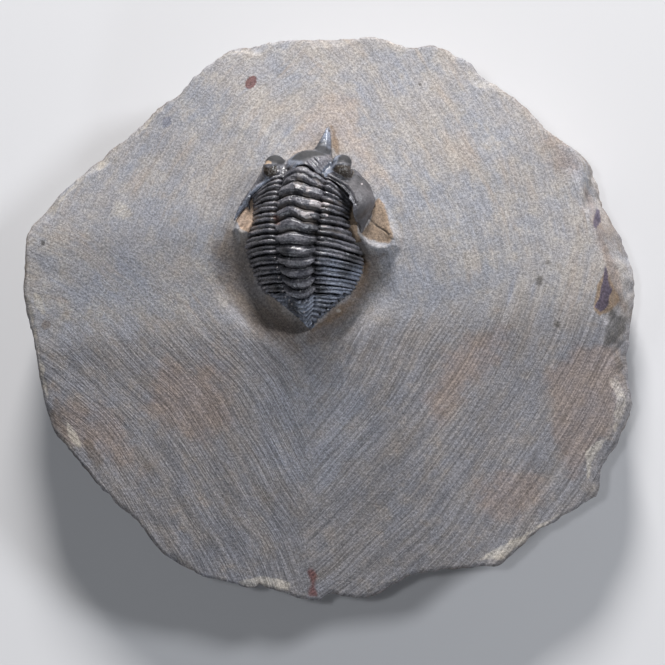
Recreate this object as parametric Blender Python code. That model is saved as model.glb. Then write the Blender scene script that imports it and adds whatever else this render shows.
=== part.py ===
"""Fossil trilobite Pseudocryphaeus, prepared out of a hand-ground piece of limestone.

Lengths are in millimetres and become metres where a mesh is made. +Z is up and the rock rests on
z = 0. The head of the trilobite points to +Y and its right side to +X. The origin lies under the
middle of the rock's outline.

The rock is a low dome of ground facets with the trilobite on its top. The body is arched along
its length: the head bends down at the front, the tail at the rear. Each plate is a column from
its outer surface down to the rock, with a thin open joint to its neighbours.

Body places are (right, forward), counted from the neck, where the head meets the first segment.
"""
import math

import bmesh
import bpy
from mathutils import Matrix, Vector

MM = 0.001
JOINT = 0.3

# Rock: outline of its ground top, walked from +X towards +Y
RIM = (
    (49.8, 3.0), (48.8, 9.0), (45.8, 16.5), (45.0, 24.5), (39.7, 29.7), (35.7, 33.8), (30.4, 38.1),
    (28.0, 40.0), (26.5, 41.8), (23.5, 43.9), (20.0, 45.4), (16.9, 45.0), (11.8, 46.9), (8.6, 47.5),
    (2.0, 47.1), (-3.5, 47.8), (-9.5, 47.1), (-15.5, 46.1), (-20.9, 42.2), (-24.2, 38.9),
    (-27.4, 37.6), (-32.4, 32.7), (-36.3, 30.6), (-42.7, 25.8), (-47.3, 21.4), (-51.4, 17.0),
    (-52.3, 13.0), (-52.0, 10.0), (-52.5, 6.5), (-51.3, 0.0), (-49.9, -8.0), (-48.6, -14.0),
    (-47.0, -18.0), (-45.2, -20.0), (-40.9, -25.0), (-36.6, -30.0), (-32.3, -33.7),
    (-28.1, -39.0), (-23.8, -41.9), (-20.3, -43.6), (-12.7, -45.8), (-10.8, -45.2), (-4.5, -47.3),
    (-1.2, -48.0), (0.3, -47.4), (8.0, -47.5), (14.7, -44.3), (22.9, -43.4), (29.7, -43.0),
    (34.1, -39.5), (40.3, -35.5), (45.8, -32.0), (47.0, -29.0), (47.2, -26.8), (49.5, -23.0),
    (51.8, -17.0), (50.5, -12.0), (49.5, -6.0),
)
SPOKES = 80

# Ground facets: compass direction of the fall in degrees from +X, and its slope
FACETS = (
    (92.0, 11.6), (145.0, 11.4), (-143.0, 12.2), (-95.0, 13.4), (-45.0, 12.6), (2.0, 10.8),
    (48.0, 11.6),
)
APEX = (-1.0, 14.0)
APEX_HEIGHT = 26.2
FACET_BLEND = 0.3

# Trench dug round the rear of the body
TRENCH_MIDDLE = (0.0, -17.0)
TRENCH_RADII = (17.0, 12.0)
TRENCH_DEPTH = 3.0
TRENCH_WALL = 0.5
TRENCH_START_LEFT = 7.6
TRENCH_START_RIGHT = 10.0
TRENCH_END_WALL = 2.2

# Tan ledges left under the cheek spines: middle and radii as body places, and how high they stand
LEDGES = (((12.9, -9.4), (3.7, 3.3), 0.8), ((-12.4, -8.6), (2.8, 2.6), 0.5))
LEDGE_WALL = 0.3

# Sides of the rock
BEVEL_DROP = 0.9
BEVEL_OUT = 0.45
BELLY_HEIGHT = 8.0
RIGHT_BULGE = 3.2
FRONT_TUCK = 3.5
# Compass direction of the bulge and of the tuck, and how far round each reaches, in degrees
BULGE_FACING = (8.0, 35.0)
TUCK_FACING = (-95.0, 85.0)
FOOT_HEIGHT = 0.8
FOOT_TUCK = 2.5
FOOT_BEVEL = 0.8

# Body: place of the neck in plan, and the turn of the body to its right in degrees
NECK = (0.3, 21.4)
BODY_TURN = 4.5

# Middle line of the back: distance behind the neck, height
CREST = (
    (-2.0, 30.3), (0.0, 31.0), (4.4, 32.0), (8.8, 32.2), (13.1, 31.4), (17.0, 29.4), (20.2, 26.7),
    (22.4, 24.3), (24.7, 21.4), (25.5, 20.4),
)
CREST_START = -2.0
CREST_STEP = 0.1

# Shape across the body, by distance along the middle line
BEND = ((0.0, 0.3), (8.0, 0.0), (16.0, 0.0), (22.0, 0.4), (28.6, 1.1))
LOBE_HALF = ((0.0, 3.7), (8.0, 3.6), (13.0, 3.2), (17.0, 2.7), (22.0, 2.2), (28.6, 0.3))
LOBE_HEIGHT = ((0.0, 1.9), (11.0, 1.8), (22.0, 1.2), (26.0, 0.7), (28.6, 0.2))
LOBE_ROUNDING = 2.4
# Share of each half that is lobe, and the furrow along the lobe's edge
LOBE_SHARE = 0.37
FURROW_DEPTH = 0.45
FURROW_SHARE = 0.055
# Tips of the flanks, by distance along the middle line: right of the neck, behind it, height
LEFT_TIPS = (
    (0.0, -9.6, 2.9, 25.3), (4.5, -9.1, 4.9, 25.3), (8.8, -9.3, 8.1, 25.0),
    (10.9, -9.9, 10.2, 24.8), (12.9, -10.1, 12.1, 24.4), (16.8, -9.2, 15.0, 23.3),
    (20.5, -7.7, 17.9, 22.6), (22.3, -6.6, 19.0, 22.3), (25.5, -3.1, 21.5, 21.4),
    (28.6, 0.7, 24.2, 20.5),
)
RIGHT_TIPS = (
    (0.0, 8.1, 3.4, 25.3), (4.5, 7.6, 5.4, 25.3), (8.8, 7.9, 8.2, 25.0),
    (10.9, 9.0, 10.7, 24.8), (12.9, 10.1, 12.7, 24.4), (16.8, 9.8, 15.3, 23.3),
    (20.5, 8.5, 17.9, 22.6), (22.3, 7.7, 18.9, 22.3), (25.5, 4.6, 21.5, 21.4),
    (28.6, 0.9, 24.2, 20.5),
)
SWEEP_ROUNDING = 1.5
FLANK_ROUNDING = 2.3
SHOULDER_RISE = 0.25
# Columns across a plate: shares of the way from the lobe's edge to the tip, and across the lobe
FLANK_SHARES = (1.0, 0.84, 0.62, 0.38, 0.14, 0.0)
LOBE_SHARES = (0.7, 0.36, 0.0)

# Thorax and tail
SEGMENTS = 11
FIRST_PITCH = 2.3
LAST_PITCH = 1.75
SEGMENT_ROWS = (0.0, 0.13, 0.32, 0.5, 0.68, 0.88, 1.0)
RING_RISE = 0.5
# Shares of a ring over which it rises at the front and falls at the rear
RING_FRONT = 0.3
RING_REAR = 0.15
BAND_RISE = 0.35
BAND_ROUNDING = 0.7
TAIL_RINGS = 6
TAIL_ROWS = (0.0, 0.35, 0.75)
TAIL_END = 28.6
TAIL_TOOTH = 0.3
TAIL_FADE = 0.1
EDGE_SLACK = 0.01
SHARP_ANGLE = 35.0

# Rock under the body: distance behind the neck, height under the middle line
BED = (
    (-14.0, 21.5), (-9.0, 22.5), (-6.0, 23.2), (0.0, 24.6), (5.0, 25.1), (10.0, 24.7), (13.7, 23.9),
    (16.6, 22.7), (19.6, 21.5), (21.6, 20.8), (24.3, 19.8), (27.0, 19.3),
)
BED_FALL = 0.008
# Rings of the rock's top: shares of the way to the footprint's edge, steps out from that edge, and
# shares of the rest of the way to the rim
BED_SHARES = (0.25, 0.5, 0.72, 0.88, 1.0)
GROUND_STEPS = (0.7, 1.6, 2.9, 4.6, 7.0)
GROUND_SHARES = (0.3, 0.6, 0.83, 1.0)
FOOTPRINT_MIDDLE = (0.0, -9.0)
# Outline of the ground that the body covers
FOOTPRINT = (
    (0.5, 6.2), (5.5, 4.8), (9.0, 2.0), (11.4, -1.5), (12.0, -4.5), (11.4, -8.0), (10.9, -11.0),
    (11.0, -13.0), (10.7, -15.0), (9.8, -17.6), (8.2, -20.0), (5.2, -22.4), (3.0, -24.0),
    (1.3, -25.2), (-0.2, -24.6), (-2.6, -22.6), (-5.6, -20.4), (-8.6, -18.0), (-10.2, -15.5),
    (-10.9, -13.0), (-11.4, -10.8), (-13.3, -8.0), (-12.6, -4.5), (-11.2, -1.0), (-8.6, 2.4),
    (-4.6, 5.2),
)

# Head: its turn, nose-down pitch and lean to its left in degrees
HEAD_TURN = 8.0
HEAD_PITCH = 38.0
HEAD_LEAN = 6.0
# Rounded forms of the head: centre (right, forward, up) and radii from the neck, in its own frame
GLABELLA = (((0.0, 4.4, -2.6), (4.4, 3.6, 3.0)), ((0.0, 1.8, -2.2), (3.4, 3.6, 2.7)))
NECK_RING = ((0.0, 0.2, -2.2), (3.7, 1.1, 2.5))
CHEEKS = ((0.0, 1.0, -6.8), (11.0, 6.8, 5.6))
EYE = ((6.2, 3.2, -1.5), (1.9, 2.4, 2.0))
# Spines, as body places with height and radius, from the root to the tip
RIGHT_CHEEK_SPINE = (
    (7.4, -0.2, 25.9, 2.2), (9.2, -1.7, 25.2, 2.0), (10.2, -3.3, 24.9, 1.7),
    (10.2, -5.0, 24.8, 1.3), (9.9, -6.8, 24.7, 0.8), (9.7, -9.4, 24.6, 0.25),
)
LEFT_CHEEK_SPINE = (
    (-6.6, 0.6, 26.4, 1.6), (-8.3, -1.2, 25.8, 1.1), (-9.4, -2.3, 25.4, 0.85),
    (-10.7, -3.8, 25.1, 0.75), (-11.8, -5.4, 24.8, 0.6), (-12.9, -7.6, 24.5, 0.25),
)
FRONT_SPINE = ((1.9, 4.2, 24.9, 1.9), (2.2, 6.6, 24.5, 1.2), (2.4, 9.9, 23.9, 0.3))
VOXEL = 0.4
SMOOTHING = 4
KEEP_FACES = 0.16
BALL_SEGMENTS = 32
BALL_RINGS = 20
SPINE_SEGMENTS = 20

# Cutters: their lowest and highest level, how far back the body cutter goes, and the bed cutter's
# first and last place forward, its half width and its cells each way
CUTTER_LOW = 5.0
CUTTER_HIGH = 50.0
BODY_CUTTER_END = 20
BED_CUTTER_FRONT = 14.0
BED_CUTTER_REAR = -13.2
BED_CUTTER_HALF = 17.0
BED_CUTTER_CELLS = (17, 16)

# Colour and roughness
LIMESTONE = ((0.36, 0.34, 0.34), 0.9)
FOSSIL_SHELL = ((0.045, 0.045, 0.05), 0.45)


def clear_scene():
    for item in list(bpy.data.objects):
        bpy.data.objects.remove(item, do_unlink=True)


def smooth_step(value):
    value = min(max(value, 0.0), 1.0)
    return value * value * (3.0 - 2.0 * value)


def along(table, place):
    """Smooth value at a place in a table of (place, value) rows."""
    if place <= table[0][0]:
        return table[0][1]
    if place >= table[-1][0]:
        return table[-1][1]
    spot = max(i for i in range(len(table) - 1) if table[i][0] <= place)
    before = table[max(spot - 1, 0)]
    start = table[spot]
    end = table[spot + 1]
    after = table[min(spot + 2, len(table) - 1)]
    span = end[0] - start[0]
    slope_in = (end[1] - before[1]) / (end[0] - before[0]) * span
    slope_out = (after[1] - start[1]) / (after[0] - start[0]) * span
    t = (place - start[0]) / span
    return (
        (2 * t ** 3 - 3 * t ** 2 + 1) * start[1]
        + (t ** 3 - 2 * t ** 2 + t) * slope_in
        + (3 * t ** 2 - 2 * t ** 3) * end[1]
        + (t ** 3 - t ** 2) * slope_out
    )


def body_to_world(right, forward):
    turn = math.radians(BODY_TURN)
    x = NECK[0] + right * math.cos(turn) + forward * math.sin(turn)
    y = NECK[1] - right * math.sin(turn) + forward * math.cos(turn)
    return x, y


def world_to_body(x, y):
    turn = math.radians(BODY_TURN)
    dx = x - NECK[0]
    dy = y - NECK[1]
    return dx * math.cos(turn) - dy * math.sin(turn), dx * math.sin(turn) + dy * math.cos(turn)


def measure_crest():
    """Rows of (distance along, distance behind the neck, height) down the middle line."""
    rows = []
    count = int((CREST[-1][0] - CREST_START) / CREST_STEP)
    length = 0.0
    last = None
    for i in range(count + 1):
        behind = CREST_START + i * CREST_STEP
        height = along(CREST, behind)
        if last:
            length += math.hypot(behind - last[0], height - last[1])
        rows.append([length, behind, height])
        last = (behind, height)
    at_neck = min(rows, key=lambda row: abs(row[1]))[0]
    return [(row[0] - at_neck, row[1], row[2]) for row in rows]


CREST_LINE = measure_crest()


def crest_at(s):
    """Distance behind the neck, height and slope where s mm along the middle line."""
    spot = 0
    while spot < len(CREST_LINE) - 2 and CREST_LINE[spot + 1][0] < s:
        spot += 1
    start = CREST_LINE[spot]
    end = CREST_LINE[spot + 1]
    part = (s - start[0]) / (end[0] - start[0])
    behind = start[1] + (end[1] - start[1]) * part
    height = start[2] + (end[2] - start[2]) * part
    return behind, height, math.atan2(end[2] - start[2], end[1] - start[1])


def tip_at(s, hand):
    """Place right of the neck, forward of it and height of the flank's tip on one hand."""
    tips = RIGHT_TIPS if hand > 0.0 else LEFT_TIPS
    right, behind, height = (
        along([(row[0], row[column]) for row in tips], s) for column in (1, 2, 3)
    )
    return right, -behind, height


def back_point(s, side, lift=0.0, widen=0.0):
    """World point of the body's surface, side from -1 at the left tips to 1 at the right."""
    behind, height, slope = crest_at(s)
    hand = math.copysign(1.0, side)
    inner = min(abs(side) / LOBE_SHARE, 1.0)
    flank = max((abs(side) - LOBE_SHARE) / (1.0 - LOBE_SHARE), 0.0)
    lobe_height = along(LOBE_HEIGHT, s)
    sink = lobe_height * inner ** LOBE_ROUNDING
    right = hand * along(LOBE_HALF, s) * inner + along(BEND, s)
    forward = -behind - sink * math.sin(slope)
    up = height - sink * math.cos(slope)
    tip_right, tip_forward, tip_height = tip_at(s, hand)
    right += (tip_right + widen * hand - right) * flank
    forward += (tip_forward - forward) * flank ** SWEEP_ROUNDING
    up += (tip_height - up) * flank ** FLANK_ROUNDING
    up += SHOULDER_RISE * math.sin(math.pi * min(flank * 2.0, 1.0))
    furrow = math.exp(-((abs(side) - LOBE_SHARE) / FURROW_SHARE) ** 2)
    raised = lift - FURROW_DEPTH * furrow * lobe_height / 2.0
    forward += raised * math.sin(slope)
    up += raised * math.cos(slope)
    x, y = body_to_world(right, forward)
    return Vector((x, y, up))


def bed_height(right, forward):
    return along(BED, -forward) - BED_FALL * right * right


def dome_height(x, y):
    total = 0.0
    for direction, slope in FACETS:
        turn = math.radians(direction)
        away = (x - APEX[0]) * math.cos(turn) + (y - APEX[1]) * math.sin(turn)
        total += math.exp((away * math.tan(math.radians(slope)) - APEX_HEIGHT) / FACET_BLEND)
    return -FACET_BLEND * math.log(total)


def trench_depth(right, forward):
    reach = math.hypot(
        (right - TRENCH_MIDDLE[0]) / TRENCH_RADII[0], (forward - TRENCH_MIDDLE[1]) / TRENCH_RADII[1]
    )
    start = TRENCH_START_RIGHT if right > 0 else TRENCH_START_LEFT
    wall = smooth_step((1.0 - reach) / TRENCH_WALL)
    return TRENCH_DEPTH * wall * smooth_step((-forward - start) / TRENCH_END_WALL)


def ground_height(x, y):
    right, forward = world_to_body(x, y)
    height = dome_height(x, y)
    trench = trench_depth(right, forward)
    for middle, radii, rise in LEDGES:
        reach = math.hypot((right - middle[0]) / radii[0], (forward - middle[1]) / radii[1])
        share = smooth_step((1.0 - reach) / LEDGE_WALL)
        height += rise * share
        trench *= 1.0 - share
    return height - trench


def smooth_loop(points, steps=4):
    """Closed smooth curve through points."""
    count = len(points)
    loop = []
    for i in range(count):
        p0, p1, p2, p3 = (Vector(points[(i + k) % count]) for k in (-1, 0, 1, 2))
        for step in range(steps):
            t = step / steps
            loop.append(
                0.5 * (2 * p1 + (p2 - p0) * t + (2 * p0 - 5 * p1 + 4 * p2 - p3) * t * t
                       + (3 * p1 - p0 - 3 * p2 + p3) * t ** 3)
            )
    return loop


def reach_of(loop, middle, direction):
    """Distance from the middle to a closed loop along a direction."""
    best = 0.0
    for i, start in enumerate(loop):
        edge = loop[(i + 1) % len(loop)] - start
        gap = start - middle
        cross = direction.x * edge.y - direction.y * edge.x
        if abs(cross) < 1e-9:
            continue
        distance = (gap.x * edge.y - gap.y * edge.x) / cross
        place = (gap.x * direction.y - gap.y * direction.x) / cross
        if -1e-6 <= place <= 1.0 + 1e-6 and distance > best:
            best = distance
    return best


def make_material(name, colour, roughness):
    material = bpy.data.materials.new(name)
    material.use_nodes = True
    shader = material.node_tree.nodes["Principled BSDF"]
    shader.inputs["Base Color"].default_value = (*colour, 1.0)
    shader.inputs["Roughness"].default_value = roughness
    shader.inputs["Metallic"].default_value = 0.0
    return material


def make_object(name, points, faces, material=None):
    mesh = bpy.data.meshes.new(name)
    mesh.from_pydata([Vector(point) * MM for point in points], [], faces)
    mesh.update()
    item = bpy.data.objects.new(name, mesh)
    bpy.context.collection.objects.link(item)
    if material:
        mesh.materials.append(material)
        mesh.shade_smooth()
        mesh.set_sharp_from_angle(angle=math.radians(SHARP_ANGLE))
    return item


def face_out(item):
    mesh = item.data
    shape = bmesh.new()
    shape.from_mesh(mesh)
    bmesh.ops.recalc_face_normals(shape, faces=shape.faces)
    shape.to_mesh(mesh)
    shape.free()


def hide_cutter(item):
    item.hide_render = True
    item.display_type = "WIRE"


def column_block(name, top, floor_of, material=None, floor_step=None):
    """Closed solid between a grid of top points and a floor straight below every so many rows."""
    rows = len(top)
    columns = len(top[0])
    points = [point for row in top for point in row]
    faces = []
    for r in range(rows - 1):
        for c in range(columns - 1):
            a = r * columns + c
            faces.append((a, a + 1, a + columns + 1, a + columns))
    picks = list(range(0, rows, floor_step or rows - 1))
    low = len(points)
    for r in picks:
        points += [Vector((p.x, p.y, floor_of(p.x, p.y))) for p in top[r]]
    last_low = low + (len(picks) - 1) * columns
    last = (rows - 1) * columns
    for c in range(columns - 1):
        faces.append((c, low + c, low + c + 1, c + 1))
        faces.append((last + c, last + c + 1, last_low + c + 1, last_low + c))
        for k in range(len(picks) - 1):
            a = low + k * columns + c
            faces.append((a, a + columns, a + columns + 1, a + 1))
    for c in (0, columns - 1):
        for k in range(len(picks) - 1):
            a = low + k * columns + c
            edge = [r * columns + c for r in range(picks[k], picks[k + 1] + 1)]
            faces.append(edge + [a + columns, a])
    item = make_object(name, points, faces, material)
    face_out(item)
    return item


def body_floor(x, y):
    return bed_height(*world_to_body(x, y)) + JOINT


def ring_rise(share):
    return RING_RISE * smooth_step(share / RING_FRONT) * smooth_step((1.0 - share) / RING_REAR)


def band_rise(share):
    return BAND_RISE * abs(math.sin(2.0 * math.pi * share)) ** BAND_ROUNDING


def plate_lift(side, share):
    """Raised axial ring in the middle, and two bands with a furrow between on each side."""
    if abs(side) < LOBE_SHARE * (1.0 - EDGE_SLACK):
        return ring_rise(share)
    if abs(side) < LOBE_SHARE * (1.0 + EDGE_SLACK):
        return 0.0
    return band_rise(share)


def side_places():
    """Places across a plate, from the left tips to the right, with one on each lobe edge."""
    right = [LOBE_SHARE + (1.0 - LOBE_SHARE) * share for share in FLANK_SHARES]
    right += [LOBE_SHARE * share for share in LOBE_SHARES]
    return [-place for place in right] + right[-2::-1]


def make_thorax(material):
    start = 0.0
    for number in range(SEGMENTS):
        pitch = FIRST_PITCH + (LAST_PITCH - FIRST_PITCH) * number / (SEGMENTS - 1)
        front = start + JOINT / 2
        length = pitch - JOINT
        top = [
            [
                back_point(front + share * length, side, plate_lift(side, share))
                for side in side_places()
            ]
            for share in SEGMENT_ROWS
        ]
        column_block(f"thorax_segment_{number + 1:02d}", top, body_floor, material)
        start += pitch
    return start


def make_tail(start, material):
    front = start + JOINT / 2
    pitch = (TAIL_END - front) / TAIL_RINGS
    rows = []
    for ring in range(TAIL_RINGS):
        fade = 1.0 - TAIL_FADE * ring
        for share in TAIL_ROWS:
            tooth = TAIL_TOOTH if share == TAIL_ROWS[-1] else 0.0
            rows.append((front + (ring + share) * pitch, share, fade, tooth))
    rows.append((TAIL_END, 0.0, 1.0, 0.0))
    top = [
        [back_point(s, side, fade * plate_lift(side, share), tooth) for side in side_places()]
        for s, share, fade, tooth in rows
    ]
    column_block("pygidium", top, body_floor, material, len(TAIL_ROWS))


def head_matrix():
    x, y = NECK
    height = along(CREST, 0.0)
    return (
        Matrix.Translation((x, y, height))
        @ Matrix.Rotation(math.radians(-HEAD_TURN), 4, "Z")
        @ Matrix.Rotation(math.radians(-HEAD_PITCH), 4, "X")
        @ Matrix.Rotation(math.radians(-HEAD_LEAN), 4, "Y")
    )


def add_ball(shape, frame, centre, radii):
    place = frame @ Matrix.Translation(centre) @ Matrix.Diagonal((*radii, 1.0))
    bmesh.ops.create_uvsphere(
        shape, u_segments=BALL_SEGMENTS, v_segments=BALL_RINGS, radius=1.0, matrix=place
    )


def add_spine(shape, joints):
    """Tapered limb through a row of (right, forward, height, radius)."""
    spots = []
    for right, forward, height, radius in joints:
        spots.append((Vector((*body_to_world(right, forward), height)), radius))
    for (root, thick), (tip, thin) in zip(spots, spots[1:]):
        run = tip - root
        turn = run.to_track_quat("Z", "Y").to_matrix().to_4x4()
        place = Matrix.Translation((root + tip) / 2) @ turn
        bmesh.ops.create_cone(
            shape, cap_ends=True, segments=SPINE_SEGMENTS, radius1=thick, radius2=thin,
            depth=run.length, matrix=place
        )
        add_ball(shape, Matrix.Identity(4), root, (thick, thick, thick))


def make_body_cutter():
    """Upright block over the thorax's plan, a joint's width larger than it."""
    right_edge = [back_point(s, 1.0, 0.0, JOINT) for s in range(BODY_CUTTER_END)]
    left_edge = [back_point(s, -1.0, 0.0, JOINT) for s in range(BODY_CUTTER_END)]
    front = [back_point(-JOINT / 2, side, 0.0, JOINT) for side in side_places()]
    outline = front + right_edge + left_edge[::-1]
    low = [Vector((p.x, p.y, CUTTER_LOW)) for p in outline]
    high = [Vector((p.x, p.y, CUTTER_HIGH)) for p in outline]
    count = len(outline)
    faces = [tuple(range(count)), tuple(range(2 * count - 1, count - 1, -1))]
    for i in range(count):
        faces.append((i, (i + 1) % count, count + (i + 1) % count, count + i))
    cutter = make_object("body_cutter", low + high, faces)
    face_out(cutter)
    hide_cutter(cutter)
    return cutter


def make_bed_cutter():
    """Block below the bed that the head rests on."""
    top = []
    long_cells, wide_cells = BED_CUTTER_CELLS
    for i in range(long_cells + 1):
        forward = BED_CUTTER_FRONT + (BED_CUTTER_REAR - BED_CUTTER_FRONT) * i / long_cells
        row = []
        for j in range(wide_cells + 1):
            right = BED_CUTTER_HALF * (2.0 * j / wide_cells - 1.0)
            x, y = body_to_world(right, forward)
            row.append(Vector((x, y, bed_height(right, forward) + JOINT)))
        top.append(row)
    cutter = column_block("bed_cutter", top, lambda x, y: CUTTER_LOW)
    hide_cutter(cutter)
    return cutter


def make_head(material):
    shape = bmesh.new()
    frame = head_matrix()
    for centre, radii in (*GLABELLA, NECK_RING, CHEEKS):
        add_ball(shape, frame, centre, radii)
    for hand in (-1.0, 1.0):
        centre, radii = EYE
        add_ball(shape, frame, (centre[0] * hand, centre[1], centre[2]), radii)
    for spine in (RIGHT_CHEEK_SPINE, LEFT_CHEEK_SPINE, FRONT_SPINE):
        add_spine(shape, spine)
    bmesh.ops.scale(shape, vec=(MM, MM, MM), verts=shape.verts)
    mesh = bpy.data.meshes.new("cephalon")
    shape.to_mesh(mesh)
    shape.free()
    head = bpy.data.objects.new("cephalon", mesh)
    bpy.context.collection.objects.link(head)
    mesh.materials.append(material)
    skin = head.modifiers.new("one_skin", "REMESH")
    skin.mode = "VOXEL"
    skin.voxel_size = VOXEL * MM
    skin.use_smooth_shade = True
    soften = head.modifiers.new("soften", "SMOOTH")
    soften.iterations = SMOOTHING
    thin = head.modifiers.new("fewer_faces", "DECIMATE")
    thin.ratio = KEEP_FACES
    for cutter in (make_body_cutter(), make_bed_cutter()):
        cut = head.modifiers.new("clear_of_" + cutter.name, "BOOLEAN")
        cut.operation = "DIFFERENCE"
        cut.solver = "EXACT"
        cut.object = cutter
    return head


def side_ring(rim_points, height, outward):
    """Ring of the rock's side at a height, moved out from the rim by a function of direction."""
    ring = []
    for point in rim_points:
        flat = Vector((point.x, point.y))
        turn = math.atan2(flat.y, flat.x)
        place = flat + flat.normalized() * outward(turn)
        ring.append(Vector((place.x, place.y, height(point))))
    return ring


def facing(turn, direction, spread):
    """1 where a turn looks along a direction, falling to 0 at the spread, all in degrees."""
    away = abs((math.degrees(turn) - direction + 180.0) % 360.0 - 180.0)
    return smooth_step(1.0 - away / spread)


def belly_out(turn):
    return RIGHT_BULGE * facing(turn, *BULGE_FACING) - FRONT_TUCK * facing(turn, *TUCK_FACING)


def foot_out(turn):
    return belly_out(turn) - FOOT_TUCK - FRONT_TUCK * facing(turn, *TUCK_FACING)


def make_matrix(material):
    middle = Vector(body_to_world(*FOOTPRINT_MIDDLE))
    rim = smooth_loop(RIM)
    foot = smooth_loop([body_to_world(*place) for place in FOOTPRINT])
    rings = []
    spokes = []
    for i in range(SPOKES):
        turn = 2.0 * math.pi * i / SPOKES
        direction = Vector((math.cos(turn), math.sin(turn)))
        spokes.append((direction, reach_of(foot, middle, direction), reach_of(rim, middle, direction)))
    for share in BED_SHARES:
        ring = []
        for direction, near, far in spokes:
            place = middle + direction * near * share
            ring.append(Vector((place.x, place.y, bed_height(*world_to_body(*place)))))
        rings.append(ring)
    for step in GROUND_STEPS:
        rings.append([middle + direction * (near + step) for direction, near, far in spokes])
    for share in GROUND_SHARES:
        ring = []
        for direction, near, far in spokes:
            start = near + GROUND_STEPS[-1]
            ring.append(middle + direction * (start + (far - start) * share))
        rings.append(ring)
    for ring in rings[len(BED_SHARES):]:
        for i, place in enumerate(ring):
            ring[i] = Vector((place.x, place.y, ground_height(place.x, place.y)))
    edge = rings[-1]
    rings.append(side_ring(edge, lambda p: p.z - BEVEL_DROP, lambda turn: BEVEL_OUT))
    rings.append(side_ring(edge, lambda p: BELLY_HEIGHT, belly_out))
    rings.append(side_ring(edge, lambda p: FOOT_HEIGHT, foot_out))
    rings.append(side_ring(edge, lambda p: 0.0, lambda turn: foot_out(turn) - FOOT_BEVEL))
    centre = Vector((middle.x, middle.y, bed_height(*world_to_body(*middle))))
    points = [centre] + [point for ring in rings for point in ring]
    faces = [(0, 1 + i, 1 + (i + 1) % SPOKES) for i in range(SPOKES)]
    for r in range(len(rings) - 1):
        for i in range(SPOKES):
            a = 1 + r * SPOKES + i
            b = 1 + r * SPOKES + (i + 1) % SPOKES
            faces.append((a, a + SPOKES, b + SPOKES, b))
    base = 1 + (len(rings) - 1) * SPOKES
    faces.append([base + i for i in range(SPOKES)])
    rock = make_object("matrix", points, faces, material)
    face_out(rock)


def main():
    clear_scene()
    limestone = make_material("limestone", *LIMESTONE)
    shell = make_material("fossil_shell", *FOSSIL_SHELL)
    make_matrix(limestone)
    make_head(shell)
    rear = make_thorax(shell)
    make_tail(rear, shell)


main()
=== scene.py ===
"""Looks of the fossil trilobite: fine relief, materials, floor, lights and camera.

Lengths are in millimetres and become metres where a mesh is made. +Z is up, the head points to +Y.
The shape functions are those of the solids, worked out on finer grids and with the relief added.
Places named in photo pixels are turned into places on the object through the camera.
"""
import math
from itertools import product

import bmesh
import bpy
import numpy as np
from mathutils import Matrix, Vector

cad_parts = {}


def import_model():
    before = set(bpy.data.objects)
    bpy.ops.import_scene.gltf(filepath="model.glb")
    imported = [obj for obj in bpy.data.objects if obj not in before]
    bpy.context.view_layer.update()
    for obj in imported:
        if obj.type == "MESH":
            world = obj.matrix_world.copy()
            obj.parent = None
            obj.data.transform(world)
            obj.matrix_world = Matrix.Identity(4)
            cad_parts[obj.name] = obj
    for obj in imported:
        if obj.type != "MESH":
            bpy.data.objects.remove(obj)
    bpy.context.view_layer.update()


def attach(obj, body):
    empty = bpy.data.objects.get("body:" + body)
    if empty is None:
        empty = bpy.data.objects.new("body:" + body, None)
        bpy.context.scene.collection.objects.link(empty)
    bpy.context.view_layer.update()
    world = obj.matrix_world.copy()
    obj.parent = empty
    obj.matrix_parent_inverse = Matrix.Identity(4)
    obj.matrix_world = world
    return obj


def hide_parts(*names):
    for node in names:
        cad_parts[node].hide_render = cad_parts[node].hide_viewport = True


MM = 0.001
JOINT = 0.3

# Camera: pixel size at the aim, distance, aim, and how far it leans to the right and to the rear
PIXEL = 0.170
DISTANCE = 600.0
AIM = (3.285, -4.061, 20.0)
LEAN_RIGHT = 13.0
LEAN_REAR = 12.0
IMAGE_SIDE = 665
SENSOR = 36.0

# Rock: outline of its ground top, walked from +X towards +Y
RIM = (
    (49.8, 3.0), (48.8, 9.0), (45.8, 16.5), (45.0, 24.5), (39.7, 29.7), (35.7, 33.8), (30.4, 38.1),
    (28.0, 40.0), (26.5, 41.8), (23.5, 43.9), (20.0, 45.4), (16.9, 45.0), (11.8, 46.9), (8.6, 47.5),
    (2.0, 47.1), (-3.5, 47.8), (-9.5, 47.1), (-15.5, 46.1), (-20.9, 42.2), (-24.2, 38.9),
    (-27.4, 37.6), (-32.4, 32.7), (-36.3, 30.6), (-42.7, 25.8), (-47.3, 21.4), (-51.4, 17.0),
    (-52.3, 13.0), (-52.0, 10.0), (-52.5, 6.5), (-51.3, 0.0), (-49.9, -8.0), (-48.6, -14.0),
    (-47.0, -18.0), (-45.2, -20.0), (-40.9, -25.0), (-36.6, -30.0), (-32.3, -33.7), (-28.1, -39.0),
    (-23.8, -41.9), (-20.3, -43.6), (-12.7, -45.8), (-10.8, -45.2), (-4.5, -47.3), (-1.2, -48.0),
    (0.3, -47.4), (8.0, -47.5), (14.7, -44.3), (22.9, -43.4), (29.7, -43.0), (34.1, -39.5),
    (40.3, -35.5), (45.8, -32.0), (47.0, -29.0), (47.2, -26.8), (49.5, -23.0), (51.8, -17.0),
    (50.5, -12.0), (49.5, -6.0),
)
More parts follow.
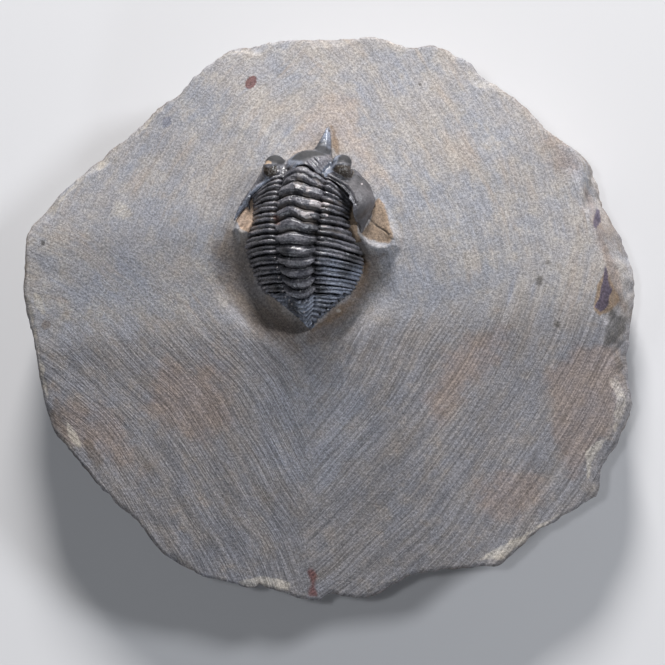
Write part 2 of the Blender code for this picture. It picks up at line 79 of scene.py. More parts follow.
# Ground facets: compass direction of the fall in degrees from +X, and its slope
FACETS = (
    (92.0, 11.6), (145.0, 11.4), (-143.0, 12.2), (-95.0, 13.4), (-45.0, 12.6), (2.0, 10.8),
    (48.0, 11.6),
)
APEX = (-1.0, 14.0)
APEX_HEIGHT = 26.2
FACET_BLEND = 0.3
TRENCH_MIDDLE = (0.0, -17.0)
TRENCH_RADII = (17.0, 12.0)
TRENCH_DEPTH = 3.0
TRENCH_WALL = 0.5
TRENCH_START_LEFT = 7.6
TRENCH_START_RIGHT = 10.0
TRENCH_END_WALL = 2.2
BEVEL_OUT = 0.45
BELLY_HEIGHT = 8.0
RIGHT_BULGE = 3.2
FRONT_TUCK = 3.5
BULGE_FACING = (8.0, 35.0)
TUCK_FACING = (-95.0, 85.0)
FOOT_HEIGHT = 0.8
FOOT_TUCK = 2.5
FOOT_BEVEL = 0.8

# Body: place of the neck in plan, and the turn of the body to its right in degrees
NECK = (0.3, 21.4)
BODY_TURN = 4.5
# Middle line of the back: distance behind the neck, height
CREST = (
    (-2.0, 30.3), (0.0, 31.0), (4.4, 32.0), (8.8, 32.2), (13.1, 31.4), (17.0, 29.4), (20.2, 26.7),
    (22.4, 24.3), (24.7, 21.4), (25.5, 20.4),
)
CREST_STEP = 0.1
# Shape across the body, by distance along the middle line
BEND = ((0.0, 0.3), (8.0, 0.0), (16.0, 0.0), (22.0, 0.4), (28.6, 1.1))
LOBE_HALF = ((0.0, 3.7), (8.0, 3.6), (13.0, 3.2), (17.0, 2.7), (22.0, 2.2), (28.6, 0.3))
LOBE_HEIGHT = ((0.0, 1.9), (11.0, 1.8), (22.0, 1.2), (26.0, 0.7), (28.6, 0.2))
LOBE_ROUNDING = 2.4
LOBE_SHARE = 0.37
FURROW_DEPTH = 0.55
FURROW_SHARE = 0.05
# Tips of the flanks, by distance along the middle line: right of the neck, behind it, height
LEFT_TIPS = (
    (0.0, -9.6, 2.9, 25.3), (4.5, -9.1, 4.9, 25.3), (8.8, -9.3, 8.1, 25.0),
    (10.9, -9.9, 10.2, 24.8), (12.9, -10.1, 12.1, 24.4), (16.8, -9.2, 15.0, 23.3),
    (20.5, -7.7, 17.9, 22.6), (22.3, -6.6, 19.0, 22.3), (25.5, -3.1, 21.5, 21.4),
    (28.6, 0.7, 24.2, 20.5),
)
RIGHT_TIPS = (
    (0.0, 8.1, 3.4, 25.3), (4.5, 7.6, 5.4, 25.3), (8.8, 7.9, 8.2, 25.0), (10.9, 9.0, 10.7, 24.8),
    (12.9, 10.1, 12.7, 24.4), (16.8, 9.8, 15.3, 23.3), (20.5, 8.5, 17.9, 22.6),
    (22.3, 7.7, 18.9, 22.3), (25.5, 4.6, 21.5, 21.4), (28.6, 0.9, 24.2, 20.5),
)
SWEEP_ROUNDING = 1.5
FLANK_ROUNDING = 2.3
SHOULDER_RISE = 0.25
SEGMENTS = 11
FIRST_PITCH = 2.3
LAST_PITCH = 1.75
TAIL_END = 28.6
BED = (
    (-14.0, 21.5), (-9.0, 22.5), (-6.0, 23.2), (0.0, 24.6), (5.0, 25.1), (10.0, 24.7), (13.7, 23.9),
    (16.6, 22.7), (19.6, 21.5), (21.6, 20.8), (24.3, 19.8), (27.0, 19.3),
)
BED_FALL = 0.008
FOOTPRINT_MIDDLE = (0.0, -9.0)
# Edge of the hollow under the body, hidden by the body
HOLLOW = (
    (0.5, 4.1), (4.6, 3.4), (7.6, 1.6), (9.4, -0.8), (9.2, -2.4), (8.0, -3.5), (7.3, -4.6),
    (7.0, -6.4), (7.2, -8.2), (8.0, -10.0), (9.0, -11.8), (9.6, -13.2), (9.5, -15.0), (8.7, -17.0),
    (6.8, -19.2), (4.4, -21.2), (2.4, -22.8), (0.9, -23.6), (-0.6, -22.8), (-2.6, -21.4),
    (-5.0, -19.6), (-7.4, -17.4), (-9.1, -14.8), (-9.5, -12.6), (-9.1, -10.4), (-8.2, -8.0),
    (-7.6, -5.0), (-7.6, -2.6), (-7.2, -0.6), (-6.8, 2.2), (-4.4, 3.0),
)
HEAD_TURN = 8.0
HEAD_PITCH = 38.0
HEAD_LEAN = 6.0
RIGHT_CHEEK_SPINE = (
    (7.4, -0.2, 25.9, 2.2), (9.2, -1.7, 25.2, 2.0), (10.2, -3.3, 24.9, 1.7),
    (10.2, -5.0, 24.8, 1.3), (9.9, -6.8, 24.7, 0.8), (9.7, -9.4, 24.6, 0.25),
)
LEFT_CHEEK_SPINE = (
    (-6.6, 0.6, 26.4, 1.6), (-8.3, -1.2, 25.8, 1.1), (-9.4, -2.3, 25.4, 0.85),
    (-10.7, -3.8, 24.95, 0.72), (-11.8, -5.4, 24.85, 0.52), (-12.9, -7.6, 24.6, 0.2),
)
FRONT_SPINE = ((1.9, 4.2, 24.9, 1.9), (2.2, 6.6, 24.5, 1.2), (2.4, 9.9, 23.9, 0.3))

# Rounded forms of the head: centre (right, forward, up) and radii from the neck, in its own frame
HEAD_FORMS = (
    ((0.0, 4.4, -2.6), (4.4, 3.6, 3.0)), ((0.0, 1.8, -2.2), (3.4, 3.6, 2.7)),
    ((0.0, 0.2, -2.2), (3.7, 1.1, 2.5)), ((0.0, 1.0, -6.8), (11.0, 6.8, 5.6)),
)
EYE_BODY = ((6.3, 2.5, -1.8), (1.75, 1.8, 1.9))
EYE_CAP = ((6.0, 4.15, -1.15), (1.8, 1.6, 1.35))
EYE_FOOT = ((5.2, 2.6, -3.0), (2.5, 2.8, 1.7))
HEAD_VOXEL = 0.28
FINE_VOXEL = 0.13

# Lines drawn on the head: height in mm, width in pixels, points in photo pixels
HEAD_LINES = (
    (0.26, 1.6, ((289, 175), (294, 171.5), (300, 169), (306, 170.5), (311, 175.5), (316, 179),
        (329, 180.5))),
    (-0.3, 1.2, ((287, 170), (293, 166.2), (300, 164.4), (306, 165.8), (312, 170.3), (318, 175),
        (327, 177))),
    (0.24, 1.2, ((328, 174.5), (335, 178), (342, 182), (349, 186.5), (354, 193), (357, 201))),
    (-0.2, 0.9, ((330, 177.5), (337, 181), (344, 185.5), (350, 191.5), (353.5, 197.5),
        (355.5, 203))),
    (0.22, 1.2, ((289, 177.5), (281, 177), (273, 178), (266.5, 181), (259, 187), (252, 194),
        (247, 200))),
    (-0.16, 0.9, ((289, 174.5), (281, 174), (275, 175.5), (268, 179))),
    (0.12, 0.8, ((288, 171.5), (282, 170.5), (278, 172))),
    (0.28, 0.9, ((308, 162), (313, 168), (319.5, 175))),
    (0.3, 0.9, ((311.5, 159.5), (316.5, 165.5), (322, 172))),
    (0.3, 0.9, ((315, 157.8), (319.5, 163.5), (324.5, 169.5))),
    (0.14, 0.8, ((304.5, 166.5), (308.5, 170), (312, 174))),
    (0.12, 0.8, ((319, 158), (323, 162), (326.5, 166))),
    (-0.25, 1.8, ((338, 158), (331, 164), (326, 169), (322, 175))),
    (0.14, 1.4, ((325.5, 149), (326.6, 140), (327.2, 130))),
    (0.15, 0.9, ((333.5, 167.5), (337.5, 163.8), (345, 163.2), (351.5, 165.2), (354.5, 171))),
    (0.15, 0.9, ((264, 165), (270, 164.2), (276.5, 164))),
)
# Lens fields of the eyes in photo pixels, then areas of the head: name, softness, outline
LENS_FIELDS = (
    ((262.5, 165.5), (268, 168), (273, 166), (277, 165.5), (278, 169.5), (275.5, 174.5),
        (269.5, 177), (264, 174.5)),
    ((332, 170), (337, 165.2), (345, 164.7), (351.5, 166.5), (354.5, 172), (352, 178), (345, 177.7),
        (338, 174)),
)
HEAD_AREAS = (
    ("tan", 1.2, ((264, 161.5), (268, 160.5), (271.5, 162), (271, 164.5), (265, 165))),
    # The blue areas below are painted sheen on the head, the front spine and the left cheek spine
    ("blue_painted_sheen", 2.4, ((287, 158), (296, 153), (303, 158), (302, 166), (293, 168), (287, 166))),
    ("blue_painted_sheen", 2.4, ((335, 155), (340, 153.5), (342, 158), (334, 166), (337, 169), (333, 172),
        (325, 176), (321, 173))),
    ("blue_painted_sheen", 2.4, ((315, 150), (322, 137), (326, 128), (330, 133), (334, 152), (325, 155))),
    ("blue_painted_sheen", 2.0, ((266, 178), (250, 191), (236, 213), (232, 224), (239, 217), (250, 201),
        (262, 187), (270, 180))),
    ("cheek", 2.4, ((352, 171), (363, 178), (376, 192), (377, 203), (372, 213), (367, 226),
        (361, 236), (357, 228), (357, 205), (350, 188), (340, 181), (345, 178), (353, 178))),
    ("olive", 4.0, ((289, 160), (296, 151), (307, 145), (323, 145), (335, 151), (327, 156),
        (314, 157), (301, 162))),
    ("olive", 3.5, ((262, 160), (268, 153), (278, 152), (286, 158), (284, 165), (274, 163),
        (264, 165))),
    ("olive", 3.5, ((337, 158), (342, 153), (350, 155), (355, 163), (352, 167), (343, 162),
        (337, 163))),
)
# Knobs on the body, raised and painted pale as painted glints, and pits along the tail's right
# edge, in photo pixels
KNOBS = (
    (275, 257.3), (277, 267.3), (279, 277.1), (282.7, 291), (285.7, 296.9), (289.3, 300.3),
    (292, 303.9), (264.3, 288.2), (270.3, 294.5), (278.5, 202.7), (319.5, 256.5), (304, 312),
)
# The pits are painted near black: painted shade in them
PITS = ((344, 293.7), (339, 301), (332, 303), (326.7, 308.3), (320, 314.3))

# Ledges of rock under the cheek spines, in photo pixels, with the height they are read at
LEDGE_LEVEL = 24.5
RIGHT_LEDGE = (
    (348, 206), (357, 204), (365, 211), (373, 206), (379, 199), (384, 206), (388, 217), (393, 228),
    (397, 237), (395, 246), (387, 252), (376, 252.5), (367, 248.5), (360, 242), (355, 243),
    (349, 230),
)
LEFT_LEDGE = (
    (256, 194), (247, 203), (237, 220), (233, 230), (242, 240), (252, 236), (256, 225), (256, 205),
)
LEDGE_RISE = (0.75, 0.9)
LEDGE_WALL = 1.1
LIP_RISE = 0.6
LIP_SHAPE = (0.8, 0.6)
LIP_START = 6.5
LIP_FADE = 2.5
CRACK = ((367, 213), (371, 221), (377, 226.5), (385, 231), (391, 237), (394, 242))

# Colours laid over the rock in this order: name, colour, softness of the edge, strength
ROCK_TINTS = (
    # lower is painted shade: a darker grey over the lower half of the rock's top, where the facets
    # turn from the light
    ("lower", (0.163, 0.158, 0.165), 0.5, 0.75), ("warm", (0.225, 0.178, 0.155), 0.5, 0.6),
    ("cool", (0.225, 0.235, 0.265), 0.5, 0.5), ("pink", (0.36, 0.3, 0.26), 0.5, 0.6),
    # umber_and_painted_shade is a brownish umber; in the hollow round the tail and under the right
    # ledge's lip it is painted shade
    ("umber_and_painted_shade", (0.135, 0.108, 0.09), 0.45, 0.6), ("rust", (0.16, 0.105, 0.062), 0.45, 0.7),
    # sand_painted_light is painted light: a lighter tan on the left ledge, lifting it out of the
    # cheek spine's shadow
    ("tan", (0.235, 0.17, 0.115), 0.3, 0.9), ("sand_painted_light", (0.39, 0.285, 0.21), 0.3, 0.9),
    ("slate", (0.15, 0.16, 0.2), 0.35, 0.8), ("purple", (0.06, 0.05, 0.085), 0.3, 0.85),
    ("wine", (0.14, 0.065, 0.062), 0.25, 0.9), ("dark", (0.07, 0.066, 0.062), 0.35, 0.75),
    ("fresh", (0.42, 0.39, 0.345), 0.35, 0.7),
)
# Areas of the rock: name, softness in pixels, outline in photo pixels
ROCK_AREAS = (
    # The first two umber areas are painted shade in the hollow round the tail and under the right
    # ledge's lip
    ("umber_and_painted_shade", 12, ((213, 246), (226, 230), (240, 236), (254, 242), (254, 262), (262, 288),
        (282, 308), (306, 332), (296, 350), (262, 338), (236, 312), (221, 280))),
    ("umber_and_painted_shade", 8, ((306, 330), (330, 320), (352, 303), (364, 280), (362, 257), (384, 255),
        (378, 268), (371, 290), (350, 318), (326, 336), (306, 345))),
    ("rust", 6, ((361, 258), (368, 262), (369, 278), (359, 297), (344, 312), (326, 324), (313, 329),
        (326, 315), (345, 301), (357, 281))),
    ("rust", 3, ((331, 126), (336, 132), (338, 148), (340, 156), (335, 153), (332, 140))),
    ("pink", 16, ((300, 128), (328, 96), (352, 100), (366, 140), (380, 180), (366, 172), (352, 156),
        (330, 148), (296, 150))),
    ("tan", 3, ((368, 210), (379, 197), (384, 206), (388, 218), (392, 229), (395, 238), (388, 243),
        (378, 243), (369, 239), (363, 233), (369, 222), (372, 213))),
    ("tan", 2, ((349, 208), (357, 204), (357, 232), (361, 242), (354, 243), (349, 230))),
    # Painted light on the left ledge, a lighter tan than the right ledge's
    ("sand_painted_light", 2, ((258, 192), (247, 203), (236, 221), (240, 228), (250, 233), (256, 225))),
    ("cool", 14, ((150, 165), (140, 135), (150, 112), (172, 108), (176, 122), (160, 150))),
    ("slate", 3, ((163, 128), (164, 119), (170, 117), (172, 124))),
    ("fresh", 9, ((116, 200), (128, 203), (127, 220), (117, 217))),
    ("warm", 16, ((426, 402), (452, 350), (500, 322), (506, 344), (470, 390), (438, 424))),
    ("warm", 9, ((546, 376), (574, 344), (618, 348), (620, 400), (604, 440), (572, 480),
        (556, 440))),
    ("warm", 22, ((150, 370), (220, 360), (236, 420), (190, 440), (150, 410))),
    ("warm", 18, ((470, 480), (540, 470), (540, 505), (490, 520))),
    ("warm", 22, ((60, 395), (120, 420), (140, 470), (90, 450), (60, 430))),
    ("cool", 22, ((380, 250), (430, 245), (470, 290), (430, 320), (392, 300))),
    ("cool", 30, ((250, 380), (350, 370), (380, 430), (330, 500), (260, 470))),
    ("cool", 26, ((80, 210), (170, 180), (200, 230), (150, 300), (80, 290))),
    ("warm", 14, ((545, 140), (576, 138), (578, 170), (556, 172))),
    ("umber_and_painted_shade", 5, ((50, 398), (60, 396), (68, 420), (66, 436), (54, 430))),
    ("umber_and_painted_shade", 4, ((82, 436), (92, 444), (104, 462), (98, 468), (86, 458))),
    ("warm", 5, ((583, 186), (590, 196), (598, 210), (606, 240), (614, 262), (621, 285), (627, 312),
        (618, 302), (608, 270), (597, 240), (589, 212))),
    ("purple", 2, ((596, 208), (600, 210), (601, 222), (597, 226), (599, 238), (594, 232),
        (593, 222))),
    ("tan", 3, ((597, 283), (606, 270), (614, 288), (619, 300), (611, 310), (600, 316),
        (593, 308))),
    ("purple", 1.5, ((605, 267), (608, 276), (612, 290), (609, 300), (606, 308), (601, 312),
        (594, 307), (599, 297), (602, 283))),
    ("dark", 5, ((610, 309), (618, 314), (627, 320), (624, 333), (616, 342), (604, 346),
        (606, 328))),
    ("fresh", 3, ((478, 560), (500, 545), (530, 531), (560, 513), (548, 524), (520, 548),
        (500, 560))),
    ("fresh", 2, ((585, 452), (596, 441), (607, 438), (600, 450), (592, 462), (588, 478))),
    ("fresh", 2, ((238, 582), (262, 576), (290, 582), (288, 592), (262, 590), (240, 588))),
    ("fresh", 2, ((388, 580), (430, 572), (470, 563), (468, 572), (430, 584), (390, 590))),
    ("fresh", 2, ((66, 420), (74, 430), (82, 446), (78, 448), (68, 434))),
    ("fresh", 2, ((33, 290), (40, 296), (46, 314), (42, 316), (34, 304))),
    ("wine", 6, ((307, 570), (317, 570), (319, 598), (308, 598))),
)
# Small spots: name, middle and half sizes in photo pixels, tilt in degrees
ROCK_SPOTS = (
    ("wine", (251, 82), (5.0, 7.5), -35), ("dark", (43, 243), (2, 3), 0),
    ("dark", (420, 84), (1.2, 3.2), 30), ("umber_and_painted_shade", (565, 453), (3.5, 3.5), 0),
    ("dark", (546, 262), (2, 5), 20), ("dark", (541, 280), (3, 6), -20),
    ("dark", (558, 325), (1.5, 4), 10), ("fresh", (338.3, 310.7), (2.6, 1.8), 0),
    ("umber_and_painted_shade", (46, 325), (5, 5), 0),
)
# Grinding strokes: name, centre in plan, width of a stroke and how many there are round a turn
STROKES = (
    ("top_left", (75.0, -30.0), 0.26, 11.0), ("top_right", (-68.0, -18.0), 0.26, 10.0),
    ("sweep_left", (-105.0, -78.0), 0.3, 13.0), ("sweep_right", (-66.0, 50.0), 0.3, 8.0),
)
# Colours laid over the body in this order: name, colour, softness of the edge, strength
SHELL_TINTS = (
    # blue_painted_sheen is painted sheen: a light bluish grey standing in for light reflected off
    # the glossy shell
    ("cheek", (0.066, 0.062, 0.065), 0.4, 0.9), ("blue_painted_sheen", (0.13, 0.146, 0.184), 0.4, 0.9),
    # scuff_and_painted_glint: pale scuffs of the shell, and painted glints on the knobs and the
    # cheek
    ("olive", (0.01, 0.01, 0.011), 0.4, 0.95), ("scuff_and_painted_glint", (0.25, 0.225, 0.225), 0.3, 0.8),
    ("dust", (0.105, 0.086, 0.074), 0.4, 0.7), ("red", (0.11, 0.062, 0.05), 0.3, 0.6),
    ("tan", (0.16, 0.115, 0.078), 0.3, 1.0), ("lens", (0.02, 0.015, 0.011), 0.2, 0.95),
    # pit_painted_shade is painted shade in the pits along the tail's edge
    ("pit_painted_shade", (0.008, 0.008, 0.01), 0.25, 0.9),
)
# Block that cuts the head clear of the thorax: how far back it reaches, steps, columns, heights
CUTTER_REACH = 20.0
CUTTER_STEP = 0.5
CUTTER_COLUMNS = 81
CUTTER_HEIGHTS = (5.0, 50.0)
# How far the right and left cheeks stay off the thorax, over the strips of rock between them
CHEEK_STRIP = (1.1, 0.5)
# How much higher the front plates stand at the right tips, beside the cheek
RIGHT_RISE = 1.6
RIGHT_RISE_POWER = 2.2
# Forward bow of the axial rings, its middle across the lobe and its width, at distances along
RING_BOW = (
    (0.0, 1.6), (2.3, 0.85), (4.5, 0.5), (6.7, 0.8), (8.9, 1.0), (10.9, 0.6), (13.0, 0.3),
    (15.0, 0.05), (18.7, -0.05), (20.5, -0.4), (22.3, -0.6), (24.5, -0.9), (27.2, -0.8),
    (28.6, -0.35),
)
BOW_MIDDLE = ((0.0, -0.1), (2.3, -0.25), (6.7, -0.3), (9.0, -0.25), (11.0, -0.1), (28.6, 0.0))
BOW_HALF = ((0.0, 0.5), (4.5, 0.45), (6.7, 0.42), (13.0, 0.5), (20.0, 0.6), (28.6, 0.4))
# Lights: name, place in metres, size in metres, power in watts and colour
LIGHTS = (
    ("key", (0.06, 0.83, 0.44), 0.26, 13.2, (1.0, 0.98, 0.97)),
    ("overhead", (0.05, -0.12, 0.94), 0.08, 1.3, (0.92, 0.95, 1.0)),
    ("side", (0.74, 0.24, 0.5), 0.16, 4.6, (0.92, 0.95, 1.0)),
    ("low_rear", (-0.25, -0.88, 0.3), 0.18, 1.8, (0.86, 0.92, 1.0)),
)
ROOM = ((0.93, 0.96, 1.0), 0.07)
# Base colours of the rock and the body, and the hues that the rock drifts between
ROCK_COOL = (0.270, 0.272, 0.288)
ROCK_WARM = (0.315, 0.292, 0.275)
STREAK_DARK = (0.262, 0.266, 0.290)
STREAK_WARM = (0.325, 0.278, 0.245)
DRIFT_PALE = (0.38, 0.37, 0.36)
ROCK_HUES = ((0.97, 0.985, 1.03), (1.04, 1.005, 0.965))
SHELL_DARK = (0.040, 0.040, 0.048)
SHELL_LIGHT = (0.092, 0.089, 0.098)
FLOOR_GREY = (0.60, 0.60, 0.61, 1.0)
FLOOR_REACH = 6.0
# Bends of the grinding strokes: size, and how far they sway
STROKE_BEND = 22.0
STROKE_SWAY = 4.0

# Rock mesh: points round it, and rings on the bed, by the hollow, on the facets, by the rim and
# on the side
SPOKES = 700
BED_RINGS = 4
INNER_RINGS = 44
FACET_RINGS = 39
EDGE_RINGS = 23
SIDE_RINGS = 28
BED_START = 0.25
INNER_REACH = 7.0
EDGE_REACH = 4.0
FACET_SPACING = 1.15
# Chipped rim: radius at which its noise is read, shift outward, and flake scars (depth, size)
RIM_RADIUS = 50.0
RIM_OUT = 0.15
RIM_FLAKES = (0.3, 3.7)
# Bevel behind the rim: least and further drop, slope, flake scars (height, size) and softness
BEVEL_LEAST = 0.1
BEVEL_MORE = 1.5
BEVEL_SLOPE = 0.55
BEVEL_FLAKES = (0.45, 2.2)
BEVEL_SOFT = 0.12
# Broken side wall: its start below the rim, how far it may stand out, flake scars (depth, size,
# shift) and how it swells from the rim down
SIDE_START = 0.2
SIDE_OUT = 0.7
SIDE_MOST = 0.5
SIDE_FLAKES = ((2.0, 6.5, 0.0), (0.5, 2.3, 30.0))
SIDE_SWELL = (0.04, 0.4)
CRACK_WIDTH = 0.9
CRACK_DEPTH = 0.22
# Layers of noise: height, size and shift of each
RIM_NOISE = ((-0.22, 1.5, 3.3), (-0.16, 0.7, 9.3))
GROUND_NOISE = ((0.11, 7.0, 0.0), (0.06, 2.2, 5.0))
SIDE_NOISE = ((0.15, 0.9, 4.0),)
STAIN_NOISE = ((1.0, 2.4, 1.0), (0.6, 0.9, 4.0))
WALL_NOISE = ((1.0, 6.0, 2.0), (0.5, 2.0, 6.0))
WARP_NOISE = ((0.07, 1.7, 0.0), (0.04, 0.8, 9.0))
GRIT_NOISE = ((0.045, 0.5, 3.0), (0.03, 0.25, 6.0))
PATCH_NOISE = ((1.0, 1.6, 1.0), (0.5, 0.6, 5.0))
HEAD_NOISE = ((0.035, 0.5, 3.0), (0.06, 1.3, 5.0))
# Marks that run out slowly over the rock: name, and start, share of x, share of y and width of
# each border
ROCK_FADES = (
    # The painted shade of the lower half fades in towards -Y
    ("lower", ((5.0, 0.0, -1.0, 14.0),)), ("top_right", ((-3.0, 1.0, 0.2, 10.0),)),
    ("sweep_left", ((5.0, -0.45, -1.0, 9.0), (5.0, -1.0, -0.1, 7.0))),
    ("sweep_right", ((0.0, 0.3, -1.0, 9.0), (4.0, 1.0, -0.1, 9.0))),
)

# Plates: points across, rows of a segment and of the tail
COLUMNS = 221
ROWS = 30
TAIL_ROWS = 120
# Height of the axial ring on the neck plate, the other segments and the tail
NECK_RING = 0.34
SEGMENT_RING = 0.62
TAIL_RING = 0.42
# Height of a segment's front and rear band, each with its change towards the tail
FRONT_BAND = (0.30, -0.05)
REAR_BAND = (0.35, 0.06)
NICK_DEPTH = 0.16
# Knobs and pits: height and half width
KNOB_SHAPE = (0.2, 1.1)
PIT_SHAPE = (-0.35, 1.5)
LEAST_THICKNESS = 0.15
PLATE_END_TUCK = 0.45
TAIL_RIBS = 7.0
TAIL_SCALLOP = 0.22
# Areas of the body with a scuffed and a reddish surface, and a painted glint on the cheek, in photo
# pixels
SCUFFED = ((296, 186), (322, 182), (334, 190), (330, 226), (300, 224))
REDDISH = ((273, 215), (280, 216), (280, 225), (275, 225))
CHEEK_GLINT = (362, 184)
# Lenses: rows round an eye, distance between rows, height and how deep their field is set
LENS_TURNS = 24.0
LENS_PITCH = 0.5
LENS_HEIGHT = 0.07
LENS_SINK = 0.10

# Random lattice behind all the fine relief
GRAIN = np.random.default_rng(11).random((32, 32, 32))
SEEDS = np.random.default_rng(5).random((24, 24, 24, 6))


def smooth_step(value):
    value = np.clip(value, 0.0, 1.0)
    return value * value * (3.0 - 2.0 * value)


def along(table, place):
    """Smooth values at an array of places in a table of (place, value) rows."""
    spots, values = np.array(table).T
    place = np.clip(np.asarray(place, float), spots[0], spots[-1])
    i = np.clip(np.searchsorted(spots, place, side="right") - 1, 0, len(spots) - 2)
    before = np.maximum(i - 1, 0)
    after = np.minimum(i + 2, len(spots) - 1)
    span = spots[i + 1] - spots[i]
    slope_in = (values[i + 1] - values[before]) / (spots[i + 1] - spots[before]) * span
    slope_out = (values[after] - values[i]) / (spots[after] - spots[i]) * span
    t = (place - spots[i]) / span
    return (
        (2 * t ** 3 - 3 * t ** 2 + 1) * values[i] + (t ** 3 - 2 * t ** 2 + t) * slope_in
        + (3 * t ** 2 - 2 * t ** 3) * values[i + 1] + (t ** 3 - t ** 2) * slope_out
    )


def noise(points, size, shift=0.0):
    """Smooth noise from -1 to 1 at rows of (x, y, z), with features of a size in mm."""
    scaled = points / size + shift
    cell = np.floor(scaled).astype(int)
    part = scaled - cell
    part = part * part * (3.0 - 2.0 * part)
    total = np.zeros(len(points))
    for corner in product((0, 1), repeat=3):
        weight = np.prod(np.where(np.array(corner, bool), part, 1.0 - part), axis=1)
        spot = (cell + corner) % len(GRAIN)
        total += weight * GRAIN[spot[:, 0], spot[:, 1], spot[:, 2]]
    return 2.0 * total - 1.0


def scars(points, size):
    """Scooped flake scars with sharp edges between them, from about -0.3 to 0.6."""
    scaled = points / size
    cell = np.floor(scaled).astype(int)
    best = np.full(len(points), 9.0)
    for corner in product((-1, 0, 1), repeat=3):
        near = cell + corner
        spot = near % len(SEEDS)
        seed = SEEDS[spot[:, 0], spot[:, 1], spot[:, 2]]
        gap = scaled - near - seed[:, :3]
        tilt = 1.3 * (seed[:, 3:] - 0.5)
        best = np.minimum(best, 0.8 * (gap * gap).sum(axis=1) + (gap * tilt).sum(axis=1))
    return best


def layers(points, rows):
    """Sum of layers of noise, each with its height, size and shift."""
    return sum(height * noise(points, size, shift) for height, size, shift in rows)


def bump_at(value, middle, width):
    return np.exp(-((value - middle) / width) ** 2)


def dots(pixels, spots, width):
    """Round bumps at spots of the photo, one array for each."""
    return [bump_at(np.hypot(*(pixels - spot).T), 0.0, width) for spot in spots]


def camera_axes():
    back = Vector((math.tan(math.radians(LEAN_RIGHT)), -math.tan(math.radians(LEAN_REAR)), 1.0))
    back.normalize()
    up = (Vector((0.0, 1.0, 0.0)) - back * back.y).normalized()
    return up.cross(back), up, back


def from_pixel(x, y, height):
    """Place in plan of what a photo pixel shows at a height."""
    right, up, back = camera_axes()
    middle = IMAGE_SIDE / 2
    ray = right * (x - middle) * PIXEL + up * (middle - y) * PIXEL - back * DISTANCE
    start = Vector(AIM) + back * DISTANCE
    place = start + ray * (height - start.z) / ray.z
    return place.x, place.y


def to_pixels(points):
    """Photo pixels in which points of the object show."""
    right, up, back = (np.array(axis) for axis in camera_axes())
    gap = points - np.array(AIM)
    scale = DISTANCE / (DISTANCE - gap @ back) / PIXEL
    middle = IMAGE_SIDE / 2
    return np.stack([middle + (gap @ right) * scale, middle - (gap @ up) * scale], axis=1)


def line_distance(places, line):
    """Distance from places to an open line through points."""
    points = np.array(line, float)
    best = np.full(len(places), 1e9)
    for start, end in zip(points, points[1:]):
        run = end - start
        gap = places - start
        share = np.clip((gap @ run) / (run @ run), 0.0, 1.0)
        best = np.minimum(best, np.linalg.norm(gap - share[:, None] * run, axis=1))
    return best


def area_depth(places, outline):
    """How far places are inside a closed outline, negative outside."""
    points = np.array(outline, float)
    inside = np.zeros(len(places), bool)
    for start, end in zip(points, np.roll(points, -1, axis=0)):
        rise = end[1] - start[1]
        crosses = (start[1] > places[:, 1]) != (end[1] > places[:, 1])
        at = start[0] + (places[:, 1] - start[1]) * (end[0] - start[0]) / (rise or 1.0)
        inside ^= crosses & (places[:, 0] < at)
    distance = line_distance(places, np.concatenate([points, points[:1]]))
    return np.where(inside, distance, -distance)


def body_to_world(right, forward):
    turn = math.radians(BODY_TURN)
    x = NECK[0] + right * math.cos(turn) + forward * math.sin(turn)
    y = NECK[1] - right * math.sin(turn) + forward * math.cos(turn)
    return x, y


def world_to_body(x, y):
    turn = math.radians(BODY_TURN)
    dx = x - NECK[0]
    dy = y - NECK[1]
    return dx * math.cos(turn) - dy * math.sin(turn), dx * math.sin(turn) + dy * math.cos(turn)


def measure_crest():
    """Distance along the middle line, distance behind the neck, height and slope."""
    behind = np.arange(CREST[0][0], CREST[-1][0] + CREST_STEP / 2, CREST_STEP)
    height = along(CREST, behind)
    steps = np.hypot(np.diff(behind), np.diff(height))
    length = np.concatenate([[0.0], np.cumsum(steps)])
    length -= length[np.argmin(np.abs(behind))]
    slope = np.arctan(np.gradient(height, behind))
    return length, behind, height, slope


CREST_LINE = measure_crest()


def tips_at(s, side):
    """Place right of the neck, behind it and height of the flank's tips."""
    found = []
    for column in (1, 2, 3):
        right, left = (
            along([(row[0], row[column]) for row in tips], s) for tips in (RIGHT_TIPS, LEFT_TIPS)
        )
        found.append(np.where(side > 0.0, right, left))
    return found


def flank_share(side):
    """0 on the middle lobe, rising to 1 at the tips."""
    return np.clip((np.abs(side) - LOBE_SHARE) / (1.0 - LOBE_SHARE), 0.0, 1.0)


def back_points(s, side, widen=0.0):
    """World points of the body's plain surface, side from -1 at the left tips to 1 at the right."""
    length, behind, height, slope = CREST_LINE
    behind, height, slope = (np.interp(s, length, row) for row in (behind, height, slope))
    hand = np.where(side < 0.0, -1.0, 1.0)
    inner = np.minimum(np.abs(side) / LOBE_SHARE, 1.0)
    flank = flank_share(side)
    lobe_height = along(LOBE_HEIGHT, s)
    sink = lobe_height * inner ** LOBE_ROUNDING
    right = hand * along(LOBE_HALF, s) * inner + along(BEND, s)
    forward = -behind - sink * np.sin(slope)
    up = height - sink * np.cos(slope)
    tip_right, tip_behind, tip_height = tips_at(s, side)
    right = right + (tip_right + widen * hand - right) * flank
    forward = forward + (-tip_behind - forward) * flank ** SWEEP_ROUNDING
    up = up + (tip_height - up) * flank ** FLANK_ROUNDING
    up = up + SHOULDER_RISE * np.sin(np.pi * np.minimum(flank * 2.0, 1.0))
    furrow = FURROW_DEPTH * bump_at(np.abs(side), LOBE_SHARE, FURROW_SHARE) * lobe_height / 2.0
    x, y = body_to_world(right, forward - furrow * np.sin(slope))
    return np.stack([x, y, up - furrow * np.cos(slope)], axis=-1)


def bed_height(points):
    """Height of the hollow's bed at points of the object."""
    right, forward = world_to_body(points[..., 0], points[..., 1])
    return along(BED, -forward) - BED_FALL * right * right


